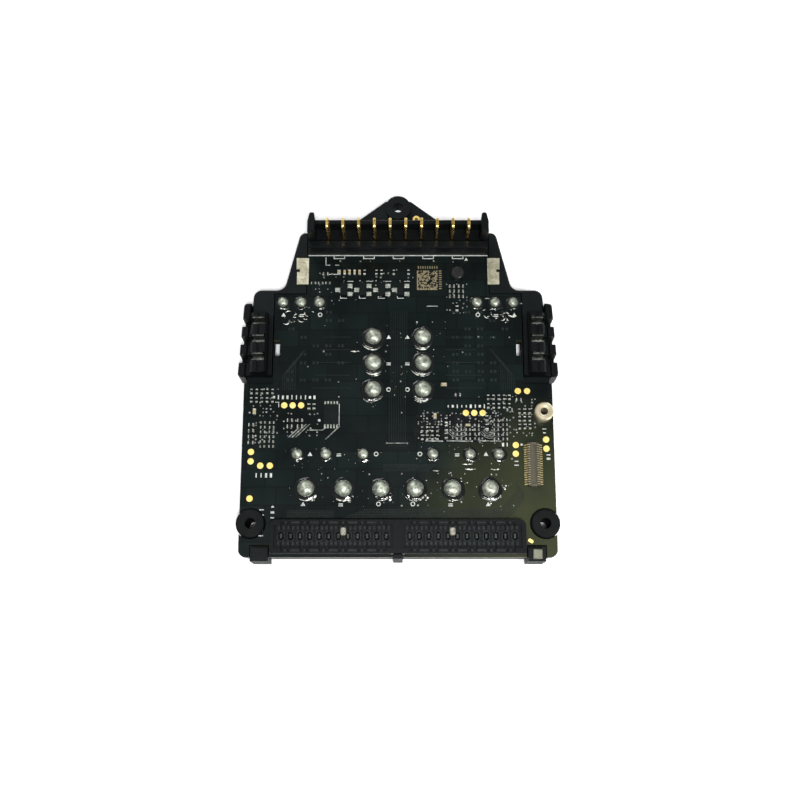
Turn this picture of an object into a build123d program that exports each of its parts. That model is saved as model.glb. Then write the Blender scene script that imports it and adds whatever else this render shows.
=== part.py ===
# Flight controller board of a folding camera drone, with its motor drives, on a moulded carrier.
#
# Millimetres. The origin is midway between the two front mounting holes, on the carrier's
# underside. +X is the board's right, +Y its rear, where the battery plugs in, and +Z is up.

from build123d import *
import os

os.makedirs("parts", exist_ok=True)

# --- Board and carrier ------------------------------------------------------------------------
carrier_depth = 5.4          # underside of the carrier to the seat of the board
board_thickness = 1.6
board_gap = 0.2              # all round the board, in its seat

board_half_width = 33.6      # main part, with the motor joints
neck_border = 0.6            # how far the neck runs past the battery connector, each side
front_overhang = 7.1         # front mounting holes to the front edge
main_length = 30.6           # front mounting holes to the waist
waist_length = 20.6
neck_length = 13.8
board_corner = 1.6           # corner radius
carrier_step = 0.3           # how far the carrier's sides stand in from the board's

hole_inset = 2.4             # mounting hole centre to the board's side edge
screw_radius = 1.15          # clearance hole for an M2 screw
wall = 2.1                   # the carrier's walls and the ledge under the board
rim = 1.0                    # the carrier's border behind the waist
shoulder_root = 5.1          # the carrier's shoulder beside the neck, at the waist
shoulder_tip = 1.7           # and at the battery connector

# --- Rear lug ---------------------------------------------------------------------------------
lug_offset = 6.1             # rear edge of the carrier to the lug's hole
lug_boss_radius = 2.85
lug_height = 4.0             # length of the lug's hole
lug_web_thickness = 2.0
lug_web_half_width = 13.6
eyelet_offset = 3.65         # rear edge of the carrier to the eyelet
eyelet_radius = 0.8
eyelet_hole = 0.35
eyelet_x = 4.15

# --- Battery connector ------------------------------------------------------------------------
blade_end_room = 2.5         # last blade to the guide ear
connector_seat = 4.45        # how much of the connector stands on the board
blade_gap = 0.05             # in front of and behind the blades
tail_setback = 0.45          # front of a blade to its tail
ledge_height = 4.5           # heights are above the board
ledge_depth = 1.75           # the ledge in front of the blades
blade_floor_height = 3.85
back_wall_height = 7.2
back_wall_thickness = 1.0
ear_height = 10.0
ear_thickness = 1.6
blade_count = 10
blade_pitch = 3.4
blade_thickness = 0.6
blade_depth = 2.5
blade_height = 11.3
slot_gap = 0.1               # round anything that sits in a moulded slot

# --- Side sockets -----------------------------------------------------------------------------
side_socket_width = 6.0
side_socket_length = 13.5
side_socket_setback = 1.8    # waist corner to the socket
side_bay_pitch = 4.1
side_bay_count = 3
side_bay_width = 1.9
side_ridge_height = 3.2      # above the board
side_flank_height = 0.6
tooth_overhang = 2.8         # how far the outer wall runs past the socket's rear end

# --- Front socket, with two bays ----------------------------------------------------------------
front_end_wall = 0.9
front_end_room = 1.45        # last contact to the end of its bay
front_socket_rear = 0.55     # measured from the front mounting holes
front_socket_depth = 7.05
front_socket_height = 2.4
front_rail = 1.2
front_divider = 2.0
front_contact_pitch = 2.0
front_contact_count = 12     # in each bay

# --- Fixings ------------------------------------------------------------------------------------
grommet_flange = 3.1
grommet_neck = 2.0
grommet_rise = 0.6           # above the board
grommet_gap = 0.05           # grommet neck to its hole in the carrier
hook_width = 3.8
hook_inset = 6.3             # board's side edge to the hook's inner side
standoff_radius = 2.05
standoff_height = 2.4
standoff_shank = 1.3
standoff_bore = 0.8          # tapping radius of an M2 thread
standoff_side_inset = 2.15   # board's side edge to the standoff
standoff_rear_inset = 6.7    # waist to the standoff

# --- Solder joints ------------------------------------------------------------------------------
power_joint_radius = 1.85
power_joint_height = 1.3
signal_joint_radius = 1.15
signal_joint_height = 0.85
pad_radius = 0.68
pad_thickness = 0.06

# --- Places worked out from the sizes above -----------------------------------------------------
board_top = carrier_depth + board_thickness
board_front = -front_overhang
waist_half_width = board_half_width - side_socket_width - board_gap
blade_half_span = (blade_count - 1) / 2 * blade_pitch + blade_thickness / 2
connector_half_width = blade_half_span + blade_end_room + ear_thickness
neck_half_width = connector_half_width + neck_border
bay_length = (front_contact_count - 1) * front_contact_pitch + 2 * front_end_room
front_socket_half_width = front_divider / 2 + bay_length + front_end_wall
waist_front = main_length
waist_rear = waist_front + waist_length
neck_rear = waist_rear + neck_length
hole_x = board_half_width - hole_inset
carrier_front = board_front + carrier_step
carrier_half_width = board_half_width - carrier_step
connector_front = neck_rear - connector_seat
blade_front = connector_front + ledge_depth + blade_gap
connector_rear = blade_front + blade_depth + 2 * blade_gap + back_wall_thickness
beam_rear = connector_rear
lug_reach = beam_rear + lug_offset
socket_inner = waist_half_width + board_gap
socket_outer = socket_inner + side_socket_width
socket_front = waist_front + side_socket_setback
socket_rear = socket_front + side_socket_length


def save(piece, name):
    """Labels a finished piece and writes it as one node."""
    piece.part.label = name
    export_step(piece.part, f"parts/{name}.step")


def both_sides(right_half):
    """A closed outline from its right-hand half, listed from front to rear."""
    return right_half + [(-x, y) for x, y in reversed(right_half)]


def board_corners(margin):
    """The stepped outline of the board, grown by margin."""
    return both_sides(
        [
            (board_half_width + margin, board_front - margin),
            (board_half_width + margin, waist_front + margin),
            (waist_half_width + margin, waist_front + margin),
            (waist_half_width + margin, waist_rear + margin),
            (neck_half_width + margin, waist_rear + margin),
            (neck_half_width + margin, neck_rear + margin),
        ]
    )


def span(low, high):
    """Centre and length of a stretch, for a box given by its two ends."""
    return (low + high) / 2, high - low


def block(x, y, z, mode=Mode.ADD):
    """A box from its (low, high) stretches along X, Y and Z."""
    (cx, lx), (cy, ly), (cz, lz) = span(*x), span(*y), span(*z)
    with Locations((cx, cy, cz)):
        Box(abs(lx), ly, lz, mode=mode)


def blade_places():
    """X of each contact blade, from left to right."""
    return [(n - (blade_count - 1) / 2) * blade_pitch for n in range(blade_count)]


# --- Where the soldered parts stand on the board --------------------------------------------------
power_pitch_rear = 6.0
power_column = 5.45
power_row = 7.5
power_pitch_front = 8.0
power_first = 3.65           # middle of the board to the nearest front motor joint
signal_row = 14.95
signal_first = 17.5          # middle of the board to the nearest rear signal joint
signal_pitch = 4.05
front_signal_columns = (7.5, 15.5, 21.7)
rear_power_front = waist_front - 1.25
rear_signal_row = waist_rear - 1.9
sides = ((-1, "left"), (1, "right"))


def rear_power_places(side):
    return [(side * power_column, rear_power_front + n * power_pitch_rear) for n in range(3)]


def front_power_places(side):
    return [(side * (power_first + n * power_pitch_front), power_row) for n in range(3)]


def rear_signal_places(side):
    return [(side * (signal_first + n * signal_pitch), rear_signal_row) for n in range(3)]


def front_signal_places(side):
    return [(side * x, signal_row) for x in front_signal_columns]


power_places = [p for side, hand in sides for p in rear_power_places(side) + front_power_places(side)]
signal_places = [p for side, hand in sides for p in rear_signal_places(side) + front_signal_places(side)]
power_pin = 0.7
signal_pin = 0.45
tail_width = 0.8
blade_tail_y = blade_front + tail_setback
standoff_place = (board_half_width - standoff_side_inset, main_length - standoff_rear_inset)
front_contact_shift = 0.15   # the contact row is a little behind the socket's middle
front_contact_y = front_socket_rear - front_socket_depth / 2 + front_contact_shift
bay_centre = (front_divider + bay_length) / 2


def front_contact_places(side):
    middle = (front_contact_count - 1) / 2
    return [side * (bay_centre + (n - middle) * front_contact_pitch) for n in range(front_contact_count)]


front_tail = 0.4
notch_depth = 1.2
slot_front = socket_front + 4.3
slot_length = 3.8
plated_slot_place = (28.0, -3.67)
hook_inner = board_half_width - hook_inset
hook_depth = 2.7
hook_step_top = board_top + 0.8

# --- Circuit board: glass-epoxy laminate, cut to fit between the carrier's shoulders --------------
with BuildPart() as circuit_board:
    with BuildSketch(Plane.XY.offset(carrier_depth)) as laminate:
        Polygon(*board_corners(0), align=None)
        fillet(laminate.vertices().group_by(Axis.Y)[0], board_corner)
        fillet(laminate.vertices().group_by(Axis.Y)[-1], board_corner / 2)
        # Round clearance for the two grommets.
        with Locations((-hole_x, 0), (hole_x, 0)):
            Circle(grommet_flange + board_gap, mode=Mode.SUBTRACT)
        # Notches for the corner hooks and the middle hook.
        with Locations(*[(s * (hook_inner + hook_width / 2), board_front) for s, hand in sides]):
            Rectangle(hook_width + 2 * board_gap, 2 * (hook_depth + board_gap - 0.3), mode=Mode.SUBTRACT)
        with Locations((0, board_front)):
            Rectangle(front_divider + 4 * board_gap, 2 * (0.4 + board_gap), mode=Mode.SUBTRACT)
        # Notches in the waist that leave the see-through slots beside the side sockets.
        with Locations(*[(s * waist_half_width, slot_front + slot_length / 2) for s, hand in sides]):
            Rectangle(2 * (notch_depth + board_gap), slot_length, mode=Mode.SUBTRACT)
    extrude(amount=board_thickness)
    with Locations(Plane.XY.offset(carrier_depth)):
        with Locations(*power_places):
            Hole(power_pin + slot_gap)
        with Locations(*signal_places):
            Hole(signal_pin + slot_gap)
        with Locations(*[(x, blade_tail_y) for x in blade_places()]):
            Hole(tail_width * 0.75 + slot_gap)
        with Locations(standoff_place):
            Hole(standoff_shank + slot_gap / 2)
        with Locations(*[(x, front_contact_y) for s, hand in sides for x in front_contact_places(s)]):
            Hole(front_tail * 0.75 + slot_gap)
    with BuildSketch(Plane.XY.offset(carrier_depth)):
        with Locations(plated_slot_place):
            SlotOverall(1.2, 0.75, rotation=-35)
    extrude(amount=board_thickness, mode=Mode.SUBTRACT)
save(circuit_board, "circuit_board")

# --- Carrier: black glass-filled nylon, moulded in one with its shoulders, lug and hooks ----------
wing_rear = waist_rear + rim
wing_taper = 1.5             # the carrier's sides lean in by this much beside the side sockets
wing_rear_x = socket_outer - wing_taper
window_step = 1.0            # the window runs this much nearer to the waist
window_tip = 0.6             # and this much nearer to the battery connector
window_corner = 1.2
window_front = carrier_front + wall + 0.2
pocket_ceiling = 1.2
opened_width = 2.0           # the see-through slot's wider part, from the socket's inner side
opened_lead = 1.0            # in front of the slot
opened_run = 2.6             # and behind it

with BuildPart() as carrier_frame:
    with BuildSketch() as carrier_outline:
        Polygon(
            *both_sides(
                [
                    (carrier_half_width, carrier_front),
                    (carrier_half_width, waist_front),
                    (wing_rear_x, wing_rear),
                    (neck_half_width + shoulder_root, wing_rear),
                    (neck_half_width + shoulder_tip, beam_rear),
                ]
            ),
            align=None,
        )
        fillet(carrier_outline.vertices().group_by(Axis.Y)[0], board_corner)
        rounded = (
            (wing_rear_x, 1.8),
            (neck_half_width + shoulder_root, 2.2),
            (neck_half_width + shoulder_tip, 1.4),
        )
        for corner_x, corner_radius in rounded:
            for x in (-corner_x, corner_x):
                fillet(carrier_outline.vertices().filter_by_position(Axis.X, x - 0.1, x + 0.1), corner_radius)
    extrude(amount=board_top)
    # The window under the board leaves a ledge for it to sit on.
    with BuildSketch() as window:
        Polygon(
            *both_sides(
                [
                    (carrier_half_width - wall, window_front),
                    (carrier_half_width - wall, waist_front - wall + window_step),
                    (waist_half_width - wall, waist_front - wall + window_step),
                    (waist_half_width - wall, waist_rear - wall),
                    (neck_half_width - wall, waist_rear - wall),
                    (neck_half_width - wall, neck_rear - wall + window_tip),
                ]
            ),
            align=None,
        )
        fillet(window.vertices(), window_corner)
    extrude(amount=board_top, mode=Mode.SUBTRACT)
    # Seat of the board.
    with BuildSketch(Plane.XY.offset(carrier_depth)):
        Polygon(*board_corners(board_gap), align=None)
    extrude(amount=board_thickness, mode=Mode.SUBTRACT)
    # Seats of the side sockets, open to the side, and cored pockets under them.
    for side, hand in sides:
        across = sorted((side * waist_half_width, side * (socket_outer + 3)))
        block(across, (waist_front - 1, socket_rear + board_gap), (carrier_depth, board_top), Mode.SUBTRACT)
        pocket = sorted((side * (socket_inner + 0.3), side * (socket_outer - 2.2)))
        for front in (socket_front - 0.2, socket_front + 7.4):
            block(pocket, (front, front + 6.2), (0, carrier_depth - pocket_ceiling), Mode.SUBTRACT)
        slot = sorted((side * (waist_half_width - notch_depth), side * (waist_half_width - 0.1)))
        slot_y = (slot_front + slot_gap, slot_front + slot_length - slot_gap)
        block(slot, slot_y, (0, carrier_depth), Mode.SUBTRACT)
        # Below the socket's floor the slot opens wider, into the cored pockets.
        opened = sorted((side * (waist_half_width - notch_depth), side * (socket_inner + opened_width)))
        opened_y = (slot_front - opened_lead, slot_front + slot_length + opened_run)
        block(opened, opened_y, (0, carrier_depth - pocket_ceiling), Mode.SUBTRACT)
    # Rear lug: a thin web with a thicker boss round its hole.
    with BuildSketch(Plane.XY.offset(board_top - lug_height + (lug_height - lug_web_thickness) / 2)) as web:
        Polygon(
            *both_sides([(lug_web_half_width, beam_rear - 0.2), (lug_boss_radius, lug_reach + 1.9)]),
            align=None,
        )
        fillet(web.vertices().group_by(Axis.Y)[-1], 0.6)
    extrude(amount=lug_web_thickness)
    with Locations((0, lug_reach, board_top - lug_height / 2)):
        Cylinder(lug_boss_radius, lug_height)
    with Locations((0, lug_reach, board_top)):
        Hole(screw_radius, depth=lug_height)
    # Corner bosses that hold the grommets.
    with Locations((-hole_x, 0, carrier_depth / 2), (hole_x, 0, carrier_depth / 2)):
        Cylinder(grommet_flange + 2 * grommet_gap, carrier_depth)
    with Locations((-hole_x, 0, carrier_depth), (hole_x, 0, carrier_depth)):
        Hole(grommet_neck + grommet_gap, depth=carrier_depth)
    # Hooks that hold the board's front edge.
    for side, hand in sides:
        across = sorted((side * hook_inner, side * (hook_inner + hook_width)))
        step = sorted((side * hook_inner, side * (hook_inner + hook_width - 0.8)))
        block(across, (board_front - 0.8, board_front + hook_depth - 0.4), (0, board_top - 0.2))
        block(step, (board_front - 0.4, board_front + hook_depth - 0.8), (carrier_depth, hook_step_top))
    middle = (-front_divider / 2, front_divider / 2)
    block(middle, (board_front - 0.5, board_front + 0.4), (0, board_top + front_socket_height - 0.4))
    # The eyelet's hole in the lug's web.
    with Locations((eyelet_x, beam_rear + eyelet_offset, board_top)):
        Hole(eyelet_radius - 0.25, depth=lug_height)
    # Softened top edges of the shoulders.
    level_faces = carrier_frame.faces().filter_by(Axis.Z)
    shoulder_face = level_faces.filter_by_position(Axis.Z, board_top - 0.01, board_top + 0.01)
    outer_edges = [
        e
        for e in shoulder_face.edges()
        if abs(e.center().X) > neck_half_width + 1.2 and e.center().Y > socket_rear + 1.5
        and (abs(e.center().X) > waist_half_width + 1.5 or e.center().Y > waist_rear + 0.6)
    ]
    chamfer(outer_edges, 0.3)
save(carrier_frame, "carrier_frame")

# --- Eyelet: plated brass, pressed in the lug's web -------------------------------------------------
web_top = board_top - (lug_height - lug_web_thickness) / 2
eyelet_y = beam_rear + eyelet_offset
with BuildPart() as lug_eyelet:
    with Locations((eyelet_x, eyelet_y, web_top + 0.1)):
        Cylinder(eyelet_radius, 0.2)
    with Locations((eyelet_x, eyelet_y, web_top - 0.6)):
        Cylinder(eyelet_radius - 0.3, 1.2)
    with Locations((eyelet_x, eyelet_y, web_top + 0.2)):
        Hole(eyelet_hole, depth=1.6)
save(lug_eyelet, "lug_eyelet")

# --- Battery connector: ledge, back wall and two guide ears in one black moulding ---------------------
ledge_top = board_top + ledge_height
blade_floor = board_top + blade_floor_height
back_wall_top = board_top + back_wall_height
ear_inner = connector_half_width - ear_thickness
back_wall_front = connector_rear - back_wall_thickness

with BuildPart() as battery_connector_housing:
    inside = (-connector_half_width, connector_half_width)
    block(inside, (connector_front, connector_rear), (board_top, blade_floor))
    block(inside, (connector_front, blade_front - blade_gap), (blade_floor, ledge_top))
    block(inside, (back_wall_front, connector_rear), (blade_floor, back_wall_top))
    upper_edges = battery_connector_housing.edges().filter_by(Axis.X)
    chamfer(upper_edges.filter_by_position(Axis.Z, ledge_top - 0.1, ledge_top + 0.1), 0.25)
    chamfer(upper_edges.filter_by_position(Axis.Z, back_wall_top - 0.1, back_wall_top + 0.1), 0.2)
    # The ears run past the back wall to a rounded tip, to guide the battery down on the blades.
    ear_tip = connector_rear + 0.6
    with BuildSketch(Plane.XY.offset(board_top)) as ears:
        for side, hand in sides:
            Polygon(
                (side * ear_inner, blade_front - 0.2),
                (side * connector_half_width, blade_front - 0.2),
                (side * connector_half_width, connector_rear - 1.4),
                (side * (connector_half_width - 0.45), ear_tip),
                (side * (ear_inner + 0.15), ear_tip),
                (side * ear_inner, connector_rear - 1.0),
                align=None,
            )
        fillet(ears.vertices().group_by(Axis.Y)[-1], 0.45)
    extrude(amount=ear_height)
    ear_tops = battery_connector_housing.faces().filter_by(Axis.Z).group_by(Axis.Z)[-1]
    chamfer(ear_tops.edges(), 0.2)
    # Slots for the blades.
    for x in blade_places():
        slot_x = (x - blade_thickness / 2 - slot_gap, x + blade_thickness / 2 + slot_gap)
        slot_y = (blade_front - slot_gap, blade_front + blade_depth + slot_gap)
        block(slot_x, slot_y, (board_top - 0.1, blade_floor + 0.1), Mode.SUBTRACT)
save(battery_connector_housing, "battery_connector_housing")

# --- Contact blades: gold-plated copper alloy, stamped, each with a tail soldered in the board ------
blade_bottom = board_top + 0.3
for number, x in enumerate(blade_places(), start=1):
    with BuildPart() as contact_blade:
        with BuildSketch(Plane.YZ.offset(x - blade_thickness / 2)) as stamping:
            Polygon(
                (blade_front, blade_bottom),
                (blade_front + blade_depth, blade_bottom),
                (blade_front + blade_depth, board_top + blade_height),
                (blade_front, board_top + blade_height),
                align=None,
            )
            fillet(stamping.vertices().group_by(Axis.Y)[-1], 0.7)
        extrude(amount=blade_thickness)
        # The top is ground thinner, to lead the battery's spring contacts on.
        crown = contact_blade.faces().filter_by(Axis.Z).sort_by(Axis.Z)[-1]
        chamfer(crown.edges().filter_by(Axis.Y), 0.15)
        tail = (x - tail_width / 2, x + tail_width / 2)
        tail_y = (blade_tail_y - tail_width / 2, blade_tail_y + tail_width / 2)
        block(tail, tail_y, (carrier_depth - 1.1, blade_bottom + 0.2))
    save(contact_blade, f"contact_blade_{number:02d}")

# --- Ground clips: plated spring plates bridging the board and the carrier's shoulders --------------
clip_length = 6.2
clip_width = 2.7
clip_thickness = 0.35
clip_rear = connector_front - 0.9

for side, hand in sides:
    clip_inner = neck_half_width - 0.3
    with BuildPart() as ground_clip:
        with BuildSketch(Plane.XY.offset(board_top)):
            Polygon(
                (side * clip_inner, clip_rear - clip_length),
                (side * (clip_inner + clip_width - 0.1), clip_rear - clip_length),
                (side * (clip_inner + clip_width - 0.1), clip_rear - clip_length + 2.9),
                (side * (clip_inner + clip_width - 0.7), clip_rear - clip_length + 2.9),
                (side * (clip_inner + clip_width - 0.7), clip_rear - clip_length + 3.6),
                (side * (clip_inner + clip_width + 0.05), clip_rear - clip_length + 3.6),
                (side * (clip_inner + clip_width + 0.05), clip_rear),
                (side * clip_inner, clip_rear),
                align=None,
            )
        extrude(amount=clip_thickness)
        # A low spring tongue pressed up from the plate.
        tongue = sorted((side * (clip_inner + 0.6), side * (clip_inner + 1.7)))
        tongue_z = (board_top + clip_thickness, board_top + clip_thickness + 0.3)
        block(tongue, (clip_rear - clip_length + 1.0, clip_rear - 1.0), tongue_z)
        chamfer(ground_clip.edges().group_by(Axis.Z)[-1].filter_by(Axis.X), 0.25)
    save(ground_clip, f"{hand}_ground_clip")

# --- Side sockets: three bays each, open at the top and the side -------------------------------------
flank_top = board_top + side_flank_height
ridge_top = board_top + side_ridge_height
ridge_inner = socket_inner + 0.9
ridge_outer = socket_outer - 1.5
bay_inner = ridge_inner + 0.5
bay_floor = board_top - 0.8
tooth_top = board_top + 1.1
tooth_bottom = 2.4
wing_lean = (carrier_half_width - wing_rear_x) / (wing_rear - waist_front)
bay_places = [
    socket_front + side_socket_length / 2 + (n - (side_bay_count - 1) / 2) * side_bay_pitch + 0.95
    for n in range(side_bay_count)
]


def wing_x(y):
    """X of the carrier's slanted side at y."""
    return carrier_half_width - (y - waist_front) * wing_lean


for side, hand in sides:
    with BuildPart() as side_socket_housing:
        body = sorted((side * socket_inner, side * (socket_outer - 0.2)))
        body_y = (socket_front, socket_rear)
        block(body, body_y, (carrier_depth, flank_top))
        ridge = sorted((side * ridge_inner, side * ridge_outer))
        block(ridge, body_y, (flank_top, ridge_top))
        chamfer(side_socket_housing.edges().group_by(Axis.Z)[-1].filter_by(Axis.Y), 0.5)
        # The outer wall follows the carrier's slanted side, and hangs down outside it.
        wall_front = socket_front - 0.6
        wall_rear = socket_rear + tooth_overhang
        with BuildSketch(Plane.XY.offset(tooth_bottom)) as outer_wall:
            Polygon(
                (side * (wing_x(wall_front) + 0.12), wall_front),
                (side * (wing_x(wall_front) + 1.75), wall_front),
                (side * (wing_x(wall_rear) + 1.75), wall_rear),
                (side * (wing_x(wall_rear) + 0.12), wall_rear),
                align=None,
            )
            tips = outer_wall.vertices().sort_by(Axis.X)
            fillet(tips[-2:] if side > 0 else tips[:2], 0.8)
        extrude(amount=tooth_top - tooth_bottom)
        level_faces = side_socket_housing.faces().filter_by(Axis.Z)
        wall_top = level_faces.filter_by_position(Axis.Z, tooth_top - 0.01, tooth_top + 0.01)
        chamfer(wall_top.edges(), 0.25)
        # Each bay is a slot from the ridge out through the wall.
        for y in bay_places:
            bay = sorted((side * bay_inner, side * (socket_outer + 4)))
            bay_y = (y - side_bay_width / 2, y + side_bay_width / 2)
            block(bay, bay_y, (bay_floor, ridge_top + 1), Mode.SUBTRACT)
            gap = sorted((side * (wing_x(y) + 0.05), side * (socket_outer + 4)))
            block(gap, bay_y, (tooth_bottom + 1.2, ridge_top + 1), Mode.SUBTRACT)
        # A key groove runs along the ridge.
        groove = sorted((side * (ridge_inner + 1.6), side * (ridge_inner + 2.2)))
        block(groove, (socket_front - 1, socket_rear + 1), (ridge_top - 0.6, ridge_top + 1), Mode.SUBTRACT)
    save(side_socket_housing, f"{hand}_side_socket_housing")

    # Spring contacts: one folded strip of tinned bronze in each bay.
    strip = 0.28
    with BuildPart() as side_socket_contacts:
        for y in bay_places:
            arm = side_bay_width / 2 - slot_gap
            along = sorted((side * (bay_inner + 0.3), side * (ridge_outer - 0.3)))
            block(along, (y - arm, y + arm), (bay_floor + slot_gap, bay_floor + slot_gap + strip))
            block(along, (y - arm, y - arm + strip), (bay_floor + slot_gap, ridge_top - 0.5))
            block(along, (y + arm - strip, y + arm), (bay_floor + slot_gap, ridge_top - 0.5))
    save(side_socket_contacts, f"{hand}_side_socket_contacts")

# --- Front socket: one moulding with two bays of contact wells ---------------------------------------
front_socket_front = front_socket_rear - front_socket_depth
front_socket_top = board_top + front_socket_height
bay_floor_z = board_top + 1.7
well_bottom = board_top + 0.3
bay_low = front_socket_front + front_rail
bay_high = front_socket_rear - front_rail
key_place = (bay_centre - front_contact_pitch, front_contact_y + 0.95)

with BuildPart() as front_socket_housing:
    with BuildSketch(Plane.XY.offset(board_top)) as socket_outline:
        with Locations((0, (front_socket_front + front_socket_rear) / 2)):
            Rectangle(2 * front_socket_half_width, front_socket_depth)
        fillet(socket_outline.vertices().group_by(Axis.Y)[-1], 1.3)
    extrude(amount=front_socket_height)
    for side, hand in sides:
        bay_x = sorted((side * front_divider / 2, side * (front_socket_half_width - front_end_wall)))
        block(bay_x, (bay_low, bay_high), (bay_floor_z, front_socket_top), Mode.SUBTRACT)
        # A well for each contact, and the groove that crosses it from rail to rail.
        with BuildSketch(Plane.XY.offset(well_bottom)):
            with Locations(*[(x, front_contact_y) for x in front_contact_places(side)]):
                SlotOverall(1.9, 1.15, rotation=90)
        extrude(amount=front_socket_height, mode=Mode.SUBTRACT)
        with BuildSketch(Plane.XY.offset(bay_floor_z - 0.5)):
            with Locations(*[(x, (bay_low + bay_high) / 2) for x in front_contact_places(side)]):
                Rectangle(0.32, bay_high - bay_low)
        extrude(amount=front_socket_height, mode=Mode.SUBTRACT)
        # Holes for the contact tails.
        with Locations(*[(x, front_contact_y, well_bottom) for x in front_contact_places(side)]):
            Hole(front_tail * 0.75 + slot_gap / 2, depth=1)
        # Each rail is notched on both sides of a narrow post, at every second land between wells.
        for n in range(0, front_contact_count, 2):
            post = side * (bay_centre + (n - (front_contact_count - 1) / 2 + 0.5) * front_contact_pitch)
            for rail_y in ((bay_high - 0.1, bay_high + 0.75), (bay_low - 0.75, bay_low + 0.1)):
                for notch in (-0.7, 0.7):
                    notch_x = (post + notch - 0.35, post + notch + 0.35)
                    block(notch_x, rail_y, (front_socket_top - 0.8, front_socket_top + 1), Mode.SUBTRACT)
        # Seat of the polarising key.
        key_x = (side * key_place[0] - 0.65, side * key_place[0] + 0.65)
        key_y = (key_place[1] - 0.9, key_place[1] + 0.9)
        block(key_x, key_y, (board_top + 0.6, front_socket_top), Mode.SUBTRACT)
save(front_socket_housing, "front_socket_housing")

for side, hand in sides:
    contact_height = bay_floor_z - well_bottom - 0.1
    contact_middle = (well_bottom + bay_floor_z) / 2
    tail_low = carrier_depth - 0.7
    tail_high = well_bottom + 0.1
    tail_middle = (tail_low + tail_high) / 2
    with BuildPart() as bay_contacts:
        with Locations(*[(x, front_contact_y, contact_middle) for x in front_contact_places(side)]):
            Box(0.42, 0.95, contact_height)
        with Locations(*[(x, front_contact_y, tail_middle) for x in front_contact_places(side)]):
            Box(front_tail, front_tail, tail_high - tail_low)
    save(bay_contacts, f"{hand}_bay_contacts")

# Polarising keys: pale nylon pegs, one pressed in each bay.
with BuildPart() as polarising_keys:
    key_height = front_socket_top - 0.15 - (board_top + 0.7)
    with BuildSketch(Plane.XY.offset(board_top + 0.7)):
        with Locations(*[(s * key_place[0], key_place[1]) for s, hand in sides]):
            RectangleRounded(1.15, 1.65, 0.4)
    extrude(amount=key_height)
    chamfer(polarising_keys.edges().group_by(Axis.Z)[-1], 0.2)
save(polarising_keys, "polarising_keys")

# --- Corner grommets: black rubber, flange over the board, neck down in the carrier's boss ------------
for side, hand in sides:
    with BuildPart() as corner_grommet:
        with BuildSketch(Plane.XZ) as grommet_section:
            Polygon(
                (screw_radius, 0),
                (grommet_neck, 0),
                (grommet_neck, carrier_depth),
                (grommet_flange, carrier_depth),
                (grommet_flange, board_top + grommet_rise),
                (screw_radius, board_top + grommet_rise),
                align=None,
            )
            top_corners = grommet_section.vertices().group_by(Axis.Y)[-1]
            fillet(top_corners.sort_by(Axis.X)[-1], 0.5)
            chamfer(top_corners.sort_by(Axis.X)[0], 0.25)
        revolve(axis=Axis.Z)
    corner_grommet.part.position = (side * hole_x, 0, 0)
    save(corner_grommet, f"{hand}_corner_grommet")

# --- Latch tab: pale nylon, clipped on top of the right front hook ---------------------------------------
tab_thickness = 0.35
tab_size = (1.9, 2.0)
with BuildPart() as latch_tab:
    with Locations((hook_inner + hook_width - 1.85, board_front + 0.6, hook_step_top + tab_thickness / 2)):
        Box(*tab_size, tab_thickness)
    chamfer(latch_tab.edges().group_by(Axis.Z)[-1], 0.1)
save(latch_tab, "latch_tab")

# --- Threaded standoff: turned brass, with a shank soldered in the board --------------------------------
standoff_tip = carrier_depth
with BuildPart() as threaded_standoff:
    with Locations((*standoff_place, board_top + standoff_height / 2)):
        Cylinder(standoff_radius, standoff_height)
    chamfer(threaded_standoff.edges().group_by(Axis.Z)[-1], 0.3)
    with Locations((*standoff_place, (standoff_tip + board_top) / 2)):
        Cylinder(standoff_shank, board_top - standoff_tip)
    with Locations((*standoff_place, board_top + standoff_height)):
        CounterBoreHole(standoff_bore, standoff_bore + 0.45, 0.35)
save(threaded_standoff, "threaded_standoff")

# --- Board-to-board socket: narrow moulding with two rows of fine contacts ------------------------------
mezzanine_place = (board_half_width - 4.6, 12.6)
mezzanine_length = 9.5
mezzanine_width = 2.5
mezzanine_height = 0.9
fine_pitch = 0.5
fine_count = 18

with BuildPart() as mezzanine_housing:
    with BuildSketch(Plane.XY.offset(board_top)):
        with Locations(mezzanine_place):
            RectangleRounded(mezzanine_width, mezzanine_length, 0.25)
    extrude(amount=mezzanine_height)
    with BuildSketch(Plane.XY.offset(board_top + 0.3)):
        with Locations(mezzanine_place):
            RectangleRounded(mezzanine_width - 1.5, mezzanine_length - 1.0, 0.2)
    extrude(amount=mezzanine_height, mode=Mode.SUBTRACT)
save(mezzanine_housing, "mezzanine_housing")

fine_width = 0.24
fine_tail = (0.7, 0.16)      # reach and thickness
fine_riser = (0.14, 0.8)     # thickness and height
fine_gap = 0.01              # socket's side to its contacts
with BuildPart() as mezzanine_contacts:
    for side, hand in sides:
        edge_x = mezzanine_place[0] + side * (mezzanine_width / 2 + fine_gap)
        tail_x = edge_x + side * (fine_tail[0] / 2 + 0.02)
        with Locations((tail_x, mezzanine_place[1], board_top + fine_tail[1] / 2)):
            with GridLocations(0, fine_pitch, 1, fine_count):
                Box(fine_tail[0], fine_width, fine_tail[1])
        riser_x = edge_x + side * fine_riser[0] / 2
        with Locations((riser_x, mezzanine_place[1], board_top + fine_riser[1] / 2)):
            with GridLocations(0, fine_pitch, 1, fine_count):
                Box(fine_riser[0], fine_width, fine_riser[1])
save(mezzanine_contacts, "mezzanine_contacts")

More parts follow.
